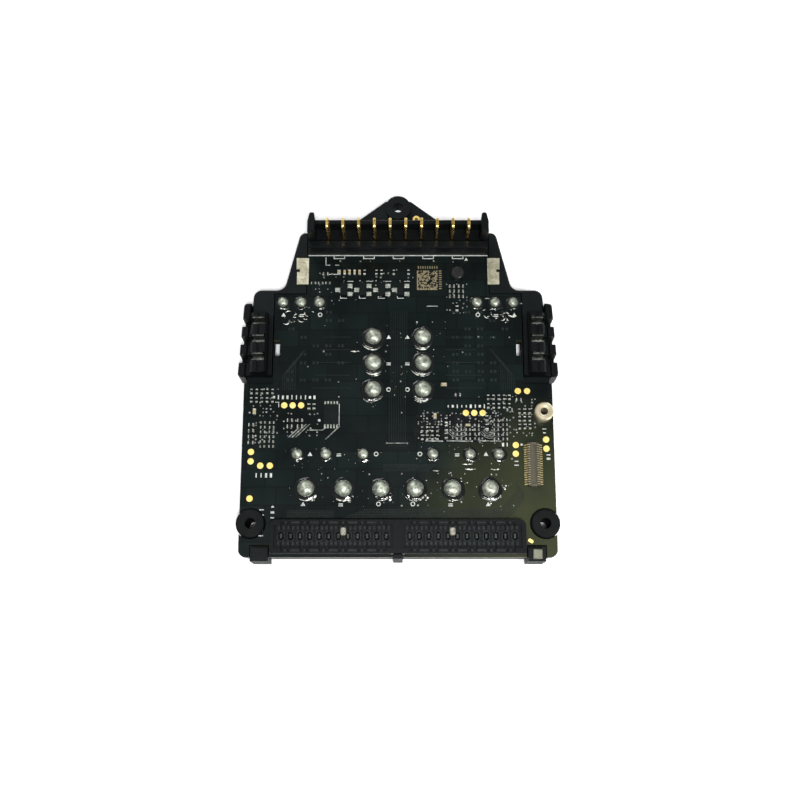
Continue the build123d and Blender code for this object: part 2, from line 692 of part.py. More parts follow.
# --- Test pads: thin gold-plated copper discs ------------------------------------------------------------
pad_places = [
    *[(-24.7 + n * 1.83, 25.7) for n in range(3)],
    *[(14.7 + n * 1.83, 24.0) for n in range(3)],
    (-31.6, 15.4),
    (-31.6, 13.35),
    (-29.5, 12.4),
    (-27.45, 12.4),
    (-31.55, 5.3),
    (26.1, 28.9),
    (28.1, 28.9),
    (25.35, 16.9),
    (25.3, 15.0),
    (31.9, 18.1),
    (31.9, 16.1),
]
with BuildPart() as test_pads:
    with Locations(*[(x, y, board_top + pad_thickness / 2) for x, y in pad_places]):
        Cylinder(pad_radius, pad_thickness)
save(test_pads, "test_pads")


# --- Solder joints: a dome over each soldered pin, and the pin down through the board ---------------------
def solder_joints(name, places, radius, height, pin, pin_end):
    """A group of like joints: one solid at each place."""
    with BuildPart() as joint:
        with BuildSketch(Plane.XZ):
            with BuildLine():
                Line((0, pin_end), (pin, pin_end))
                Line((pin, pin_end), (pin, board_top))
                Line((pin, board_top), (radius, board_top))
                Spline(
                    (radius, board_top),
                    (radius * 0.72, board_top + height * 0.72),
                    (0, board_top + height),
                    tangents=[(-0.35, 1), (-1, 0)],
                )
                Line((0, board_top + height), (0, pin_end))
            make_face()
        revolve(axis=Axis.Z)
    with BuildPart() as joints:
        with Locations(*places):
            add(joint.part)
    save(joints, name)


for side, hand in sides:
    power = (power_joint_radius, power_joint_height, power_pin, carrier_depth - 0.8)
    signal = (signal_joint_radius, signal_joint_height, signal_pin, carrier_depth + 0.1)
    solder_joints(f"rear_{hand}_motor_joints", rear_power_places(side), *power)
    solder_joints(f"front_{hand}_motor_joints", front_power_places(side), *power)
    solder_joints(f"rear_{hand}_signal_joints", rear_signal_places(side), *signal)
    solder_joints(f"front_{hand}_signal_joints", front_signal_places(side), *signal)


def chips(name, size, places, underside=False, edge=0.0):
    """A group of like moulded parts, lying on the board or hung under it."""
    length, width, height = size
    level = carrier_depth - height / 2 if underside else board_top + height / 2
    with BuildPart() as group:
        with Locations(*[(x, y, level) for x, y in places]):
            Box(length, width, height)
        if edge:
            chamfer(group.edges().filter_by(Axis.Z), edge)
    save(group, name)


# --- Level shifter: small moulded chip with leads on two sides ----------------------------------------------
shifter_place = (-14.5, 23.6)
shifter_size = (3.0, 4.3, 0.9)
chips("level_shifter_chip", shifter_size, [shifter_place], edge=0.15)
lead_pitch = 0.65
lead_count = 5
lead_size = (0.28, 0.7, 0.2)
with BuildPart() as level_shifter_leads:
    for end in (-1, 1):
        lead_y = shifter_place[1] + end * (shifter_size[1] / 2 + 0.4)
        with Locations((shifter_place[0], lead_y, board_top + lead_size[2] / 2)):
            with GridLocations(lead_pitch, 0, lead_count, 1):
                Box(*lead_size)
save(level_shifter_leads, "level_shifter_leads")

# --- Rear transistors: four three-legged switches beside the battery connector -------------------------
transistor_row = waist_rear + 1.0
transistor_pitch = 4.23
transistor_size = (1.5, 2.9, 0.95)
leg_reach = 1.37             # centre of the transistor to the middle of each leg
leg_spread = 0.95            # and of the paired legs to either side
leg_height = 0.2
transistor_places = [(-12.1 + n * transistor_pitch, transistor_row) for n in range(4)]
chips("rear_transistors", transistor_size, transistor_places, edge=0.12)
with BuildPart() as rear_transistor_legs:
    for x, y in transistor_places:
        legs = [(x - leg_reach, y), (x + leg_reach, y - leg_spread), (x + leg_reach, y + leg_spread)]
        with Locations(*[(leg_x, leg_y, board_top + leg_height / 2) for leg_x, leg_y in legs]):
            Box(2 * leg_reach - transistor_size[0] - 0.2, 0.75, leg_height)
save(rear_transistor_legs, "rear_transistor_legs")


def grid(x, y, columns, rows, pitch_x, pitch_y):
    """Places of a block of small parts, from its front left corner."""
    return [(x + c * pitch_x, y + r * pitch_y) for r in range(rows) for c in range(columns)]


# --- Chip resistors and capacitors on the board's top --------------------------------------------------
rear_row = waist_rear + 5.2
upright_resistors = [
    *[(-13.1 + n * 1.12, rear_row) for n in range(6)],
    (-4.85, rear_row),
    (-3.73, rear_row),
    (-0.95, rear_row),
    (2.35, rear_row),
    *grid(-31.9, 26.9, 5, 2, 1.15, 1.9),
    *grid(19.6, 25.6, 5, 2, 1.15, 1.9),
    *grid(5.2, 18.6, 4, 2, 1.1, 1.8),
    *grid(26.3, 21.0, 3, 3, 1.1, 1.7),
]
flat_resistors = [
    *grid(-29.2, 16.6, 2, 6, 1.9, 1.05),
    *grid(13.2, 18.3, 3, 4, 1.9, 1.0),
    *grid(21.2, 18.2, 2, 5, 1.9, 1.05),
    *[(-18.9 + n * 1.6, waist_rear + 2.6) for n in range(3)],
]
flat_capacitors = [
    *grid(-23.4, 21.0, 2, 2, 2.2, 1.3),
    *grid(-31.7, 17.4, 1, 4, 0, 1.3),
    *grid(12.0, waist_rear - 0.6, 2, 3, 2.0, 1.2),
    (-16.2, waist_rear + 4.7),
    (10.0, main_length - 0.3),
    (13.0, main_length - 2.6),
    (24.2, 24.6),
    (26.2, 26.9),
]
upright_capacitors = [
    *grid(10.4, 18.9, 1, 3, 0, 1.7),
    *grid(19.2, 20.9, 1, 2, 0, 1.9),
    (-31.1, 24.3),
    (-19.3, 25.4),
    (-18.2, 25.4),
    (13.1, waist_rear - 3.4),
    (8.0, 23.3),
]
resistor_size = (1.0, 0.55, 0.35)
capacitor_size = (1.15, 0.7, 0.6)


def laid_chips(name, size, across, along):
    """One node of like chips, some lying along X and some along Y."""
    length, width, height = size
    with BuildPart() as group:
        with Locations(*[(x, y, board_top + height / 2) for x, y in across]):
            Box(length, width, height)
        with Locations(*[(x, y, board_top + height / 2) for x, y in along]):
            Box(width, length, height)
    save(group, name)


laid_chips("chip_resistors", resistor_size, flat_resistors, upright_resistors)
laid_chips("chip_capacitors", capacitor_size, flat_capacitors, upright_capacitors)

# --- Wound choke: small drum of ferrite on the neck's right ------------------------------------
choke_place = (13.2, waist_rear + 4.8)
choke_radius = 1.45
choke_height = 1.3
with BuildPart() as wound_choke:
    with Locations((*choke_place, board_top + choke_height / 2)):
        Cylinder(choke_radius, choke_height)
    chamfer(wound_choke.edges().group_by(Axis.Z)[-1], 0.2)
    with Locations((*choke_place, board_top + choke_height)):
        Hole(choke_radius * 0.45, depth=0.25)
save(wound_choke, "wound_choke")

# --- Under the board: the motor drives, processor, sensors and supply -----------------------------------
for side, hand in sides:
    rear_switches = [
        (side * x, rear_power_front + n * power_pitch_rear) for x in (11.0, 16.6) for n in range(3)
    ]
    front_switches = [(x, y + step) for x, y in front_power_places(side) for step in (-3.9, 3.8)]
    chips(f"rear_{hand}_motor_switches", (4.4, 4.4, 1.0), rear_switches, underside=True, edge=0.2)
    chips(f"front_{hand}_motor_switches", (4.4, 3.4, 1.0), front_switches, underside=True, edge=0.2)

driver_places = [(21.8, rear_power_front + power_pitch_rear), (27.2, power_row)]
driver_places += [(-x, y) for x, y in driver_places]
chips("motor_driver_chips", (4.0, 4.0, 0.9), driver_places, underside=True, edge=0.2)
chips("main_processor", (10.0, 10.0, 1.2), [(0, 21.2)], underside=True, edge=0.5)
chips("inertial_sensor", (3.0, 3.0, 0.9), [(21.4, 22.0)], underside=True, edge=0.15)
chips("pressure_sensor", (2.5, 3.0, 1.0), [(-21.4, 22.0)], underside=True, edge=0.15)
chips("clock_crystal", (2.5, 3.2, 0.8), [(-7.6, 21.2)], underside=True, edge=0.25)
shunt_places = [(s * 13.7, y) for s, hand in sides for y in (18.9, 24.1)]
chips("current_shunts", (6.3, 3.2, 0.7), shunt_places, underside=True)
supply_row = waist_rear + 4.4
supply_places = [(x, supply_row) for x in (-13.5, -4.5, 4.5, 13.5)]
chips("supply_capacitors", (4.3, 7.3, 2.8), supply_places, underside=True, edge=0.3)
inductor_places = [(s * 12.4, waist_rear - 4.0) for s, hand in sides]
chips("supply_inductors", (4.8, 4.8, 2.4), inductor_places, underside=True, edge=0.6)
under_capacitors = [
    *grid(-6.0, 14.2, 5, 1, 2.6, 0),
    *[(s * (22.9 + n * 1.6), y) for s, hand in sides for n in range(5) for y in (3.9, 12.6)],
    *[(s * 8.2, rear_power_front - 1.2 + n * 2.6) for s, hand in sides for n in range(6)],
]
chips("under_chip_capacitors", (0.8, 1.4, 0.7), under_capacitors, underside=True)
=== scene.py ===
import math
import random

import bmesh
import bpy
from mathutils import Matrix, Vector, noise


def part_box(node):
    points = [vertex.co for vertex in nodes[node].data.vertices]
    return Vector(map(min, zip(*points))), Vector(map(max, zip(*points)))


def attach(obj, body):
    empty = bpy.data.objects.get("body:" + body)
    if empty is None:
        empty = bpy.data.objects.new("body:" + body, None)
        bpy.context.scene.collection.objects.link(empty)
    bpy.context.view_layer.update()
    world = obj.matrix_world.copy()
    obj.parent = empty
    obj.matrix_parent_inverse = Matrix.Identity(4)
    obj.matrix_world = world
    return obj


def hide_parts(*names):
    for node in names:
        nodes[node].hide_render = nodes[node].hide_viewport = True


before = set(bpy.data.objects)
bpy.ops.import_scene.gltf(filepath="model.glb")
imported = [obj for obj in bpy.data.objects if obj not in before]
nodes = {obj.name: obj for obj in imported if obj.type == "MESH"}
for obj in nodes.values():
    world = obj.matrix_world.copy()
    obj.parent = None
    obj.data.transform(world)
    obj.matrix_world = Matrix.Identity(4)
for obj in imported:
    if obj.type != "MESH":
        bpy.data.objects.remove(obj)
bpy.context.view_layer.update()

# --- Carrier ---
# The open tray that holds the board, with its shoulders, hooks and screw lug. It is one moulding
# in black glass-filled nylon, dull and finely pitted all over from the spark-eroded mould.
mm = 0.001


def linear(code):
    """An sRGB hex colour as linear RGBA."""
    channels = [int(code[i : i + 2], 16) / 255 for i in (0, 2, 4)]
    return [c / 12.92 if c <= 0.04045 else ((c + 0.055) / 1.055) ** 2.4 for c in channels] + [1]


def per(size_mm):
    """Texture scale that gives features of about this size."""
    return 1000 / size_mm


def add(tree, kind, inputs={}, **settings):
    """Adds a shader node with its settings, and fills or links its inputs."""
    made = tree.nodes.new(kind)
    for name, value in settings.items():
        setattr(made, name, value)
    for name, value in inputs.items():
        if isinstance(value, bpy.types.NodeSocket):
            tree.links.new(value, made.inputs[name])
        else:
            made.inputs[name].default_value = value
    return made


def new_finish(name, **sockets):
    """A material with one Principled shader; returns it with its tree, shader and object coordinates."""
    made = bpy.data.materials.new(name)
    made.use_nodes = True
    tree = made.node_tree
    shader = tree.nodes["Principled BSDF"]
    for socket, value in sockets.items():
        shader.inputs[socket.replace("_", " ")].default_value = value
    where = add(tree, "ShaderNodeTexCoord").outputs["Object"]
    return made, tree, shader, where


def finish_nodes(finish, *names):
    """Gives CAD nodes their finish."""
    for name in names:
        for held in nodes[name].material_slots:
            held.material = finish


def grainy(name, light, dark, grain_mm, depth_mm, rough=(0.4, 0.6), cloud_mm=7, **sockets):
    """A finish whose colour drifts in clouds and whose surface is pitted at one grain size."""
    made, tree, shader, where = new_finish(name, **sockets)
    cloud = add(tree, "ShaderNodeTexNoise", {"Vector": where, "Scale": per(cloud_mm), "Detail": 4.0})
    grain = add(tree, "ShaderNodeTexNoise", {"Vector": where, "Scale": per(grain_mm), "Detail": 3.0})
    drift = add(
        tree, "ShaderNodeMath", {0: cloud.outputs["Fac"], 1: grain.outputs["Fac"]}, operation="MULTIPLY"
    )
    spread = add(
        tree, "ShaderNodeMapRange", {"Value": drift.outputs[0], "From Min": 0.12, "From Max": 0.42}
    )
    colours = {"Factor": spread.outputs[0], 6: linear(dark), 7: linear(light)}
    tone = add(tree, "ShaderNodeMix", colours, data_type="RGBA")
    from_grain = {"Value": grain.outputs["Fac"], "From Min": 0.3, "From Max": 0.7}
    gloss = add(tree, "ShaderNodeMapRange", {**from_grain, "To Min": rough[0], "To Max": rough[1]})
    pits = {"Height": grain.outputs["Fac"], "Distance": depth_mm * mm, "Strength": 0.6}
    relief = add(tree, "ShaderNodeBump", pits)
    tree.links.new(tone.outputs[2], shader.inputs["Base Color"])
    tree.links.new(gloss.outputs[0], shader.inputs["Roughness"])
    tree.links.new(relief.outputs[0], shader.inputs["Normal"])
    return made


# Glass-filled nylon: grey-black, with glass fibres that dull the skin and lift it to a soft sheen.
moulded_nylon = grainy(
    "glass_filled_nylon", "091111", "030708", 0.22, 0.05, rough=(0.42, 0.62), IOR=1.53,
    Specular_IOR_Level=0.13,
)
finish_nodes(moulded_nylon, "carrier_frame")

# --- Circuit board ---
# Woven glass and epoxy laminate, routed to shape, with copper under a black solder mask. The mask
# takes a faint print of the glass weave, and bare tan laminate shows on the routed edges.
weave_mm = 0.7
pour_mm = 6.5
# Centre of the pool of light painted on the mask round the right front corner.
painted_light_corner = (0.034, -0.006, 0.006)

solder_mask, tree, shader, where = new_finish("black_solder_mask", IOR=1.5, Specular_IOR_Level=0.12)
cloud = add(tree, "ShaderNodeTexNoise", {"Vector": where, "Scale": per(11), "Detail": 5.0})
pours = add(
    tree,
    "ShaderNodeTexBrick",
    {"Vector": where, "Scale": 1.0, "Brick Width": pour_mm * mm, "Row Height": 0.6 * pour_mm * mm,
     "Mortar Size": 0.12 * mm, "Color1": (0.55, 0.55, 0.55, 1), "Color2": (0.3, 0.3, 0.3, 1),
     "Mortar": (0.1, 0.1, 0.1, 1)},
    offset=0.37,
)
thickness = add(
    tree, "ShaderNodeMath", {0: cloud.outputs["Fac"], 1: pours.outputs["Color"]}, operation="MULTIPLY"
)
uneven = add(
    tree, "ShaderNodeMapRange", {"Value": thickness.outputs[0], "From Min": 0.08, "From Max": 0.32}
)
blacks = {"Factor": uneven.outputs[0], 6: linear("030707"), 7: linear("0a1615")}
ink = add(tree, "ShaderNodeMix", blacks, data_type="RGBA")
# A painted pool of light lifts the mask to olive round the right front corner, in soft-edged patches.
corner = add(tree, "ShaderNodeVectorMath", {0: where, 1: painted_light_corner}, operation="DISTANCE")
patches = add(tree, "ShaderNodeTexNoise", {"Vector": where, "Scale": per(9), "Detail": 3.0})
ragged = {0: patches.outputs["Fac"], 1: 16 * mm, 2: corner.outputs["Value"]}
patchy = add(tree, "ShaderNodeMath", ragged, operation="MULTIPLY_ADD")
painted_light_share = add(
    tree, "ShaderNodeMapRange", {"Value": patchy.outputs[0], "From Min": 44 * mm, "From Max": 20 * mm}
)
painted_light_tones = {"Factor": painted_light_share.outputs[0], 6: ink.outputs[2], 7: linear("303421")}
olive = add(tree, "ShaderNodeMix", painted_light_tones, data_type="RGBA")
warp = add(tree, "ShaderNodeSeparateXYZ", {"Vector": where})
strands = []
for axis in ("X", "Y"):
    threads = {0: warp.outputs[axis], 1: 2 * math.pi * per(weave_mm)}
    turn = add(tree, "ShaderNodeMath", threads, operation="MULTIPLY")
    strands.append(add(tree, "ShaderNodeMath", {0: turn.outputs[0]}, operation="SINE"))
crossed = {0: strands[0].outputs[0], 1: strands[1].outputs[0]}
weave = add(tree, "ShaderNodeMath", crossed, operation="MULTIPLY")
relief = add(
    tree, "ShaderNodeBump", {"Height": weave.outputs[0], "Distance": 0.004 * mm, "Strength": 0.5}
)
geometry = add(tree, "ShaderNodeNewGeometry")
facing = add(tree, "ShaderNodeSeparateXYZ", {"Vector": geometry.outputs["Normal"]})
upright = add(tree, "ShaderNodeMath", {0: facing.outputs["Z"]}, operation="ABSOLUTE")
routed = add(tree, "ShaderNodeMath", {0: upright.outputs[0], 1: 0.5}, operation="LESS_THAN")
fibres = add(tree, "ShaderNodeTexNoise", {"Vector": where, "Scale": per(0.4), "Detail": 4.0})
tans = {"Factor": fibres.outputs["Fac"], 6: linear("23241b"), 7: linear("57543d")}
edge = add(tree, "ShaderNodeMix", tans, data_type="RGBA")
faces = {"Factor": routed.outputs[0], 6: olive.outputs[2], 7: edge.outputs[2]}
skin = add(tree, "ShaderNodeMix", faces, data_type="RGBA")
from_cloud = {"Value": cloud.outputs["Fac"], "From Min": 0.3, "From Max": 0.7}
gloss = add(tree, "ShaderNodeMapRange", {**from_cloud, "To Min": 0.3, "To Max": 0.42})
tree.links.new(skin.outputs[2], shader.inputs["Base Color"])
tree.links.new(gloss.outputs[0], shader.inputs["Roughness"])
tree.links.new(relief.outputs[0], shader.inputs["Normal"])
finish_nodes(solder_mask, "circuit_board")

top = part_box("circuit_board")[1].z


def prisms(name, outlines, low, high, finish):
    """One piece from flat closed outlines, in millimetres, each raised from low to high, in metres."""
    shape = bmesh.new()
    for outline in outlines:
        rings = [[shape.verts.new((x * mm, y * mm, z)) for x, y in outline] for z in (low, high)]
        shape.faces.new(rings[1])
        shape.faces.new(rings[0][::-1])
        for n in range(len(outline)):
            m = (n + 1) % len(outline)
            shape.faces.new((rings[0][n], rings[0][m], rings[1][m], rings[1][n]))
    return place(name, shape, [finish])


def place(name, shape, finishes, smooth=False, replaced=()):
    """Makes a bmesh into a piece that rides on the board."""
    bmesh.ops.recalc_face_normals(shape, faces=shape.faces)
    mesh = bpy.data.meshes.new(name)
    shape.to_mesh(mesh)
    shape.free()
    for finish in finishes:
        mesh.materials.append(finish)
    piece = bpy.data.objects.new(name, mesh)
    bpy.context.scene.collection.objects.link(piece)
    if smooth:
        mesh.shade_smooth()
    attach(piece, "root")
    if replaced:
        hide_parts(*replaced)
    return piece


def ribbon(points, width):
    """The closed outline of a strip that runs along points, with mitred corners."""
    sides = ([], [])
    for n, point in enumerate(points):
        here = Vector(point)
        before = (here - Vector(points[n - 1])).normalized() if n else None
        after = (Vector(points[n + 1]) - here).normalized() if n + 1 < len(points) else None
        along = ((before or after) + (after or before)).normalized()
        across = Vector((-along.y, along.x))
        reach = width / 2 / max(0.5, along.dot(after or before))
        sides[0].append(tuple(here + across * reach))
        sides[1].append(tuple(here - across * reach))
    return sides[1] + sides[0][::-1]


def dot(x, y, radius, corners=16):
    """A round outline."""
    turns = [2 * math.pi * n / corners for n in range(corners)]
    return [(x + radius * math.cos(t), y + radius * math.sin(t)) for t in turns]


def oblong(x, y, width, length):
    """A rectangular outline about its centre."""
    return [
        (x - width / 2, y - length / 2),
        (x + width / 2, y - length / 2),
        (x + width / 2, y + length / 2),
        (x - width / 2, y + length / 2),
    ]


# --- Tracks under the mask ---
# Etched copper tracks stand up under the solder mask as thin raised lines in the mask's own black.
# They catch the light along their shoulders, so they look a little paler than the field.
track_rise = 0.035 * mm
covered_copper = grainy(
    "solder_mask_over_copper", "1c2724", "0a1210", 0.5, 0.01, rough=(0.3, 0.42), cloud_mm=3,
    Specular_IOR_Level=0.25,
)
tracks = []
# Long parallel runs in front of the front motor joints, which bend up to the fine socket.
for n in range(6):
    y = 1.25 + 0.34 * n
    bend = 23.4 - 0.3 * n
    run = [(-11.5 + 0.8 * n, y), (bend, y), (bend + 3.2, y + 3.6), (bend + 3.4, y + 5.6)]
    tracks.append(ribbon(run, 0.13))
for n in range(5):
    y = 1.4 + 0.32 * n
    tracks.append(ribbon([(-23.5, y), (-13.5, y)], 0.11))
# The pairs that leave the level shifter at a slant.
for n in range(3):
    shift = 0.62 * n
    tracks.append(ribbon([(-23.9 + shift, 18.4), (-20.9 + shift, 21.4), (-20.2 + shift, 21.4)], 0.2))
# Fans beside both side sockets.
for side in (-1, 1):
    for n in range(7):
        x = side * (25.2 - 0.45 * n)
        tracks.append(ribbon([(x, 29.2), (x, 32.2 + 0.5 * n), (x - side * 2.2, 35.5 + 0.5 * n)], 0.1))
    for n in range(5):
        y = 41.2 - 2.9 * n
        tracks.append(ribbon([(side * 10.4, y), (side * (16.6 + 0.5 * n), y)], 0.12))
# Long straight runs up the middle.
for n in range(8):
    x = -1.9 + 0.5 * n
    run = [(x, 16.5), (x, 27.5 + 0.6 * n), (x + 0.35, 29.6 + 0.6 * n), (x + 0.35, 47.2)]
    tracks.append(ribbon(run, 0.09))
for n in range(6):
    y = 11.3 + 0.28 * n
    tracks.append(ribbon([(-3.2, y), (6.4 + 0.4 * n, y)], 0.09))
prisms("covered_tracks", tracks, top, top + track_rise, covered_copper)

# --- Supply block's coating ---
# A thin film of black conformal coating over the dense supply block. It's darker and glossier than
# the mask, with a wavering brushed edge.
coating = grainy(
    "conformal_coating", "07090c", "020304", 1.5, 0.02, rough=(0.16, 0.3), cloud_mm=6, IOR=1.5,
    Specular_IOR_Level=0.35,
)
film = []
film_corners = 64
film_middle = (13.3, 20.75)
film_half = (9.7, 3.25)
for n in range(film_corners):
    turn = 2 * math.pi * n / film_corners
    way = (math.cos(turn), math.sin(turn))
    waver = 0.3 * noise.noise(Vector((way[0] * 4, way[1] * 4, 0.7)))
    film.append(
        [film_middle[i] + math.copysign(abs(way[i]) ** 0.25, way[i]) * (film_half[i] + waver) for i in (0, 1)]
    )
prisms("conformal_film", [film], top, top + 0.012 * mm, coating)

# --- Curved tracks ---
# Nested copper curves round the supply's two small converters, under a mask so thin that the
# metal shows through as a grey sheen.
thin_mask = grainy(
    "thin_mask_on_copper", "8a908a", "4b514d", 0.4, 0.01, rough=(0.3, 0.45), cloud_mm=2, Metallic=0.6
)
curves = []
for centre in ((12.9, 21.2), (20.0, 21.0)):
    for n in range(4):
        radius = 1.35 + 0.42 * n
        turns = [math.radians(-152 + 11 * m) for m in range(9)]
        arc = [(centre[0] + radius * math.cos(t), centre[1] + radius * math.sin(t)) for t in turns]
        curves.append(ribbon(arc + [(arc[-1][0] + 0.9, arc[-1][1] + 0.25)], 0.15))
prisms("curved_tracks", curves, top, top + 0.04 * mm, thin_mask)

# --- Unused footprints ---
# Lands for parts that this version leaves off. The mask covers them, so each is a low rounded
# step in the field, in two broad fields either side of the middle.
footprints = []
layout = random.Random(7)
for side in (-1, 1):
    for column in range(5):
        x = side * (12.6 + 2.75 * column)
        for row in range(9):
            y = 31.4 + 1.95 * row
            if layout.random() < 0.42 or (abs(x) > 22.5 and 35 < y < 43):
                continue
            for half in (-0.42, 0.42):
                footprints.append(oblong(x + half, y, 0.5, 0.62))
prisms("covered_lands", footprints, top, top + 0.02 * mm, covered_copper)

# --- Bare copper, tinned: wide links and pads left open in the mask ---
# Hot-air levelled tin on copper: silver-white, slightly domed and rippled, so it glitters.
tinned_copper = grainy(
    "tinned_copper", "c6c9c2", "5d605c", 0.5, 0.05, rough=(0.28, 0.46), cloud_mm=1.2, Metallic=0.9
)
links = []
for low_x, high_x in ((5.9, 9.7), (10.5, 16.1), (17.2, 22.2)):
    links.append(ribbon([(low_x, 17.85), (high_x, 17.75)], 0.26))
for n in range(3):
    shift = 0.75 * n
    links.append(ribbon([(-23.6 + shift, 18.6), (-20.6 + shift, 21.5)], 0.2))
links.append(ribbon([(-15.6, 18.2), (-12.6, 21.1)], 0.24))
links.append(ribbon([(-19.6, 20.2), (-16.3, 20.2), (-15.4, 20.9)], 0.2))
links.append(ribbon([(-2.4, 17.3), (2.0, 17.35)], 0.13))
for end_x in (-2.4, 2.0):
    links.append(dot(end_x, 17.32, 0.2))
prisms("tinned_links", links, top, top + 0.05 * mm, tinned_copper)

# --- Vias ---
# Plated holes that join the copper layers. Each is a small tinned ring, laid out where the
# supply, the sockets and the drivers need them.
vias = []
drill = random.Random(21)


def via_field(low_x, high_x, low_y, high_y, pitch, share):
    """Vias on a loose grid, keeping only a share of the places."""
    columns = int((high_x - low_x) / pitch) + 1
    rows = int((high_y - low_y) / pitch) + 1
    for column in range(columns):
        for row in range(rows):
            if drill.random() < share:
                x = low_x + column * pitch + drill.uniform(-0.12, 0.12)
                y = low_y + row * pitch + drill.uniform(-0.12, 0.12)
                vias.append(dot(x, y, drill.choice((0.13, 0.16, 0.2)), 10))


via_field(4.4, 23.0, 18.4, 24.0, 0.62, 0.42)
via_field(19.5, 30.2, 18.9, 28.2, 0.68, 0.34)
via_field(-32.2, -25.6, 17.4, 30.0, 0.75, 0.3)
via_field(-24.6, -17.2, 19.0, 24.4, 0.8, 0.26)
via_field(-18.4, 3.4, 49.8, 57.2, 0.9, 0.2)
via_field(10.8, 15.4, 46.8, 54.2, 0.75, 0.34)
via_field(-26.5, 26.5, 3.8, 48.4, 3.4, 0.22)
via_field(-14.0, 18.0, 59.0, 59.6, 1.1, 0.25)
prisms("via_rings", vias, top, top + 0.03 * mm, tinned_copper)

# --- Gold test pads ---
# Round pads for test probes: copper with a thin immersion-gold plating, pale and slightly dull,
# with the small dents that the probes leave.
immersion_gold = grainy(
    "immersion_gold", "ffeda0", "e6c464", 0.18, 0.02, rough=(0.4, 0.55), cloud_mm=1.5, Metallic=0.7
)
finish_nodes(immersion_gold, "test_pads", "lug_eyelet")
# The plated slot by the right front corner is lined and floored with the same gold.
slot_x, slot_y = 28.0, -3.67
turn = math.radians(-35)
across, along = math.cos(turn), math.sin(turn)
lining = [
    (slot_x + x * across - y * along, slot_y + x * along + y * across) for x, y in oblong(0, 0, 1.14, 0.7)
]
prisms("plated_slot", [lining], top - 0.5 * mm, top - 0.08 * mm, immersion_gold)


def solids_of(name):
    """The box (low, high) of each separate solid in a CAD node."""
    mesh = nodes[name].data
    owner = {}
    keys = [tuple(round(c * 1e6) for c in v.co) for v in mesh.vertices]

    def find(key):
        while owner.setdefault(key, key) != key:
            owner[key] = owner[owner[key]]
            key = owner[key]
        return key

    for face in mesh.polygons:
        first = find(keys[face.vertices[0]])
        for corner in face.vertices[1:]:
            owner[find(keys[corner])] = first
    boxes = {}
    for vertex, key in zip(mesh.vertices, keys):
        low, high = boxes.setdefault(find(key), (vertex.co.copy(), vertex.co.copy()))
        for axis in range(3):
            low[axis] = min(low[axis], vertex.co[axis])
            high[axis] = max(high[axis], vertex.co[axis])
    return sorted(boxes.values(), key=lambda box: tuple(round(c, 6) for c in box[0]))


def ring(x, y, inner, outer, corners=32):
    """A flat ring as a set of short closed outlines."""
    turns = [2 * math.pi * n / corners for n in range(corners + 1)]
    made = []
    for a, b in zip(turns, turns[1:]):
        made.append(
            [
                (x + inner * math.cos(a), y + inner * math.sin(a)),
                (x + outer * math.cos(a), y + outer * math.sin(a)),
                (x + outer * math.cos(b), y + outer * math.sin(b)),
                (x + inner * math.cos(b), y + inner * math.sin(b)),
            ]
        )
    return made


# --- Solder joints ---
# Motor and signal wires come up through the board and are soldered by hand. Each joint is a
# smooth bright mound of tin alloy with the cut end of the wire just showing at its crown.
solder = grainy(
    "hand_soldered_tin", "c6ccbc", "6d7468", 0.7, 0.16, rough=(0.3, 0.5), cloud_mm=0.8, Metallic=0.62
)


def bridge(shape, loops):
    """Joins each closed loop of vertices to the next with a band of faces."""
    for a, b in zip(loops, loops[1:]):
        for m in range(len(a)):
            k = (m + 1) % len(a)
            shape.faces.new((a[m], a[k], b[k], b[m]))


def mound(shape, low, high, radius, seed):
    """A hand-made solder mound with its pin, inside one CAD joint's box."""
    centre = (low + high) / 2
    height = high.z - top
    pin = radius * 0.38
    corners = 40
    profile = []
    steps = 12
    for n in range(steps + 1):
        t = n / steps
        rise = math.sin(math.pi / 2 * t)
        profile.append((radius * math.cos(math.pi / 2 * t) ** 0.8, top + height * rise))
    profile[-1] = (radius * 0.1, top + height * 0.985)
    loops = []
    for r, z in [(pin, low.z), (pin, top - 0.01 * mm)] + profile:
        loop = []
        for m in range(corners):
            turn = 2 * math.pi * m / corners
            share = (z - top) / height if z > top else 0
            x, y = math.cos(turn), math.sin(turn)
            wobble = noise.noise(Vector((x * 1.3, y * 1.3, seed * 3.7 + share)))
            lift = noise.noise(Vector((x, y, seed * 1.9 + 4)) * (1.5 - share))
            reach = r * (1 - 0.05 + 0.05 * wobble) if z >= top else r
            rise = z - height * 0.05 * share * (1 - share) * 4 * abs(lift) if z > top else z
            loop.append(shape.verts.new((centre.x + reach * x, centre.y + reach * y, rise)))
        loops.append(loop)
    bridge(shape, loops)
    shape.faces.new(loops[0][::-1])
    shape.faces.new(loops[-1])


joints = [name for name in nodes if name.endswith("_joints")]
joint_boxes = []
for name in sorted(joints):
    shape = bmesh.new()
    for number, (low, high) in enumerate(solids_of(name)):
        radius = (high.x - low.x) / 2
        joint_boxes.append((low, high, radius))
        mound(shape, low, high, radius, len(joint_boxes))
    place(name.replace("_joints", "_solder"), shape, [solder], smooth=True, replaced=[name])

# --- Solder lands ---
# The tinned copper ring round each hand-soldered joint, part of the board's own copper.
lands = []
for low, high, radius in joint_boxes:
    centre = (low + high) / 2 / mm
    lands += ring(centre.x, centre.y, radius / mm * 0.93, radius / mm + 0.16)
prisms("solder_lands", lands, top, top + 0.03 * mm, tinned_copper)

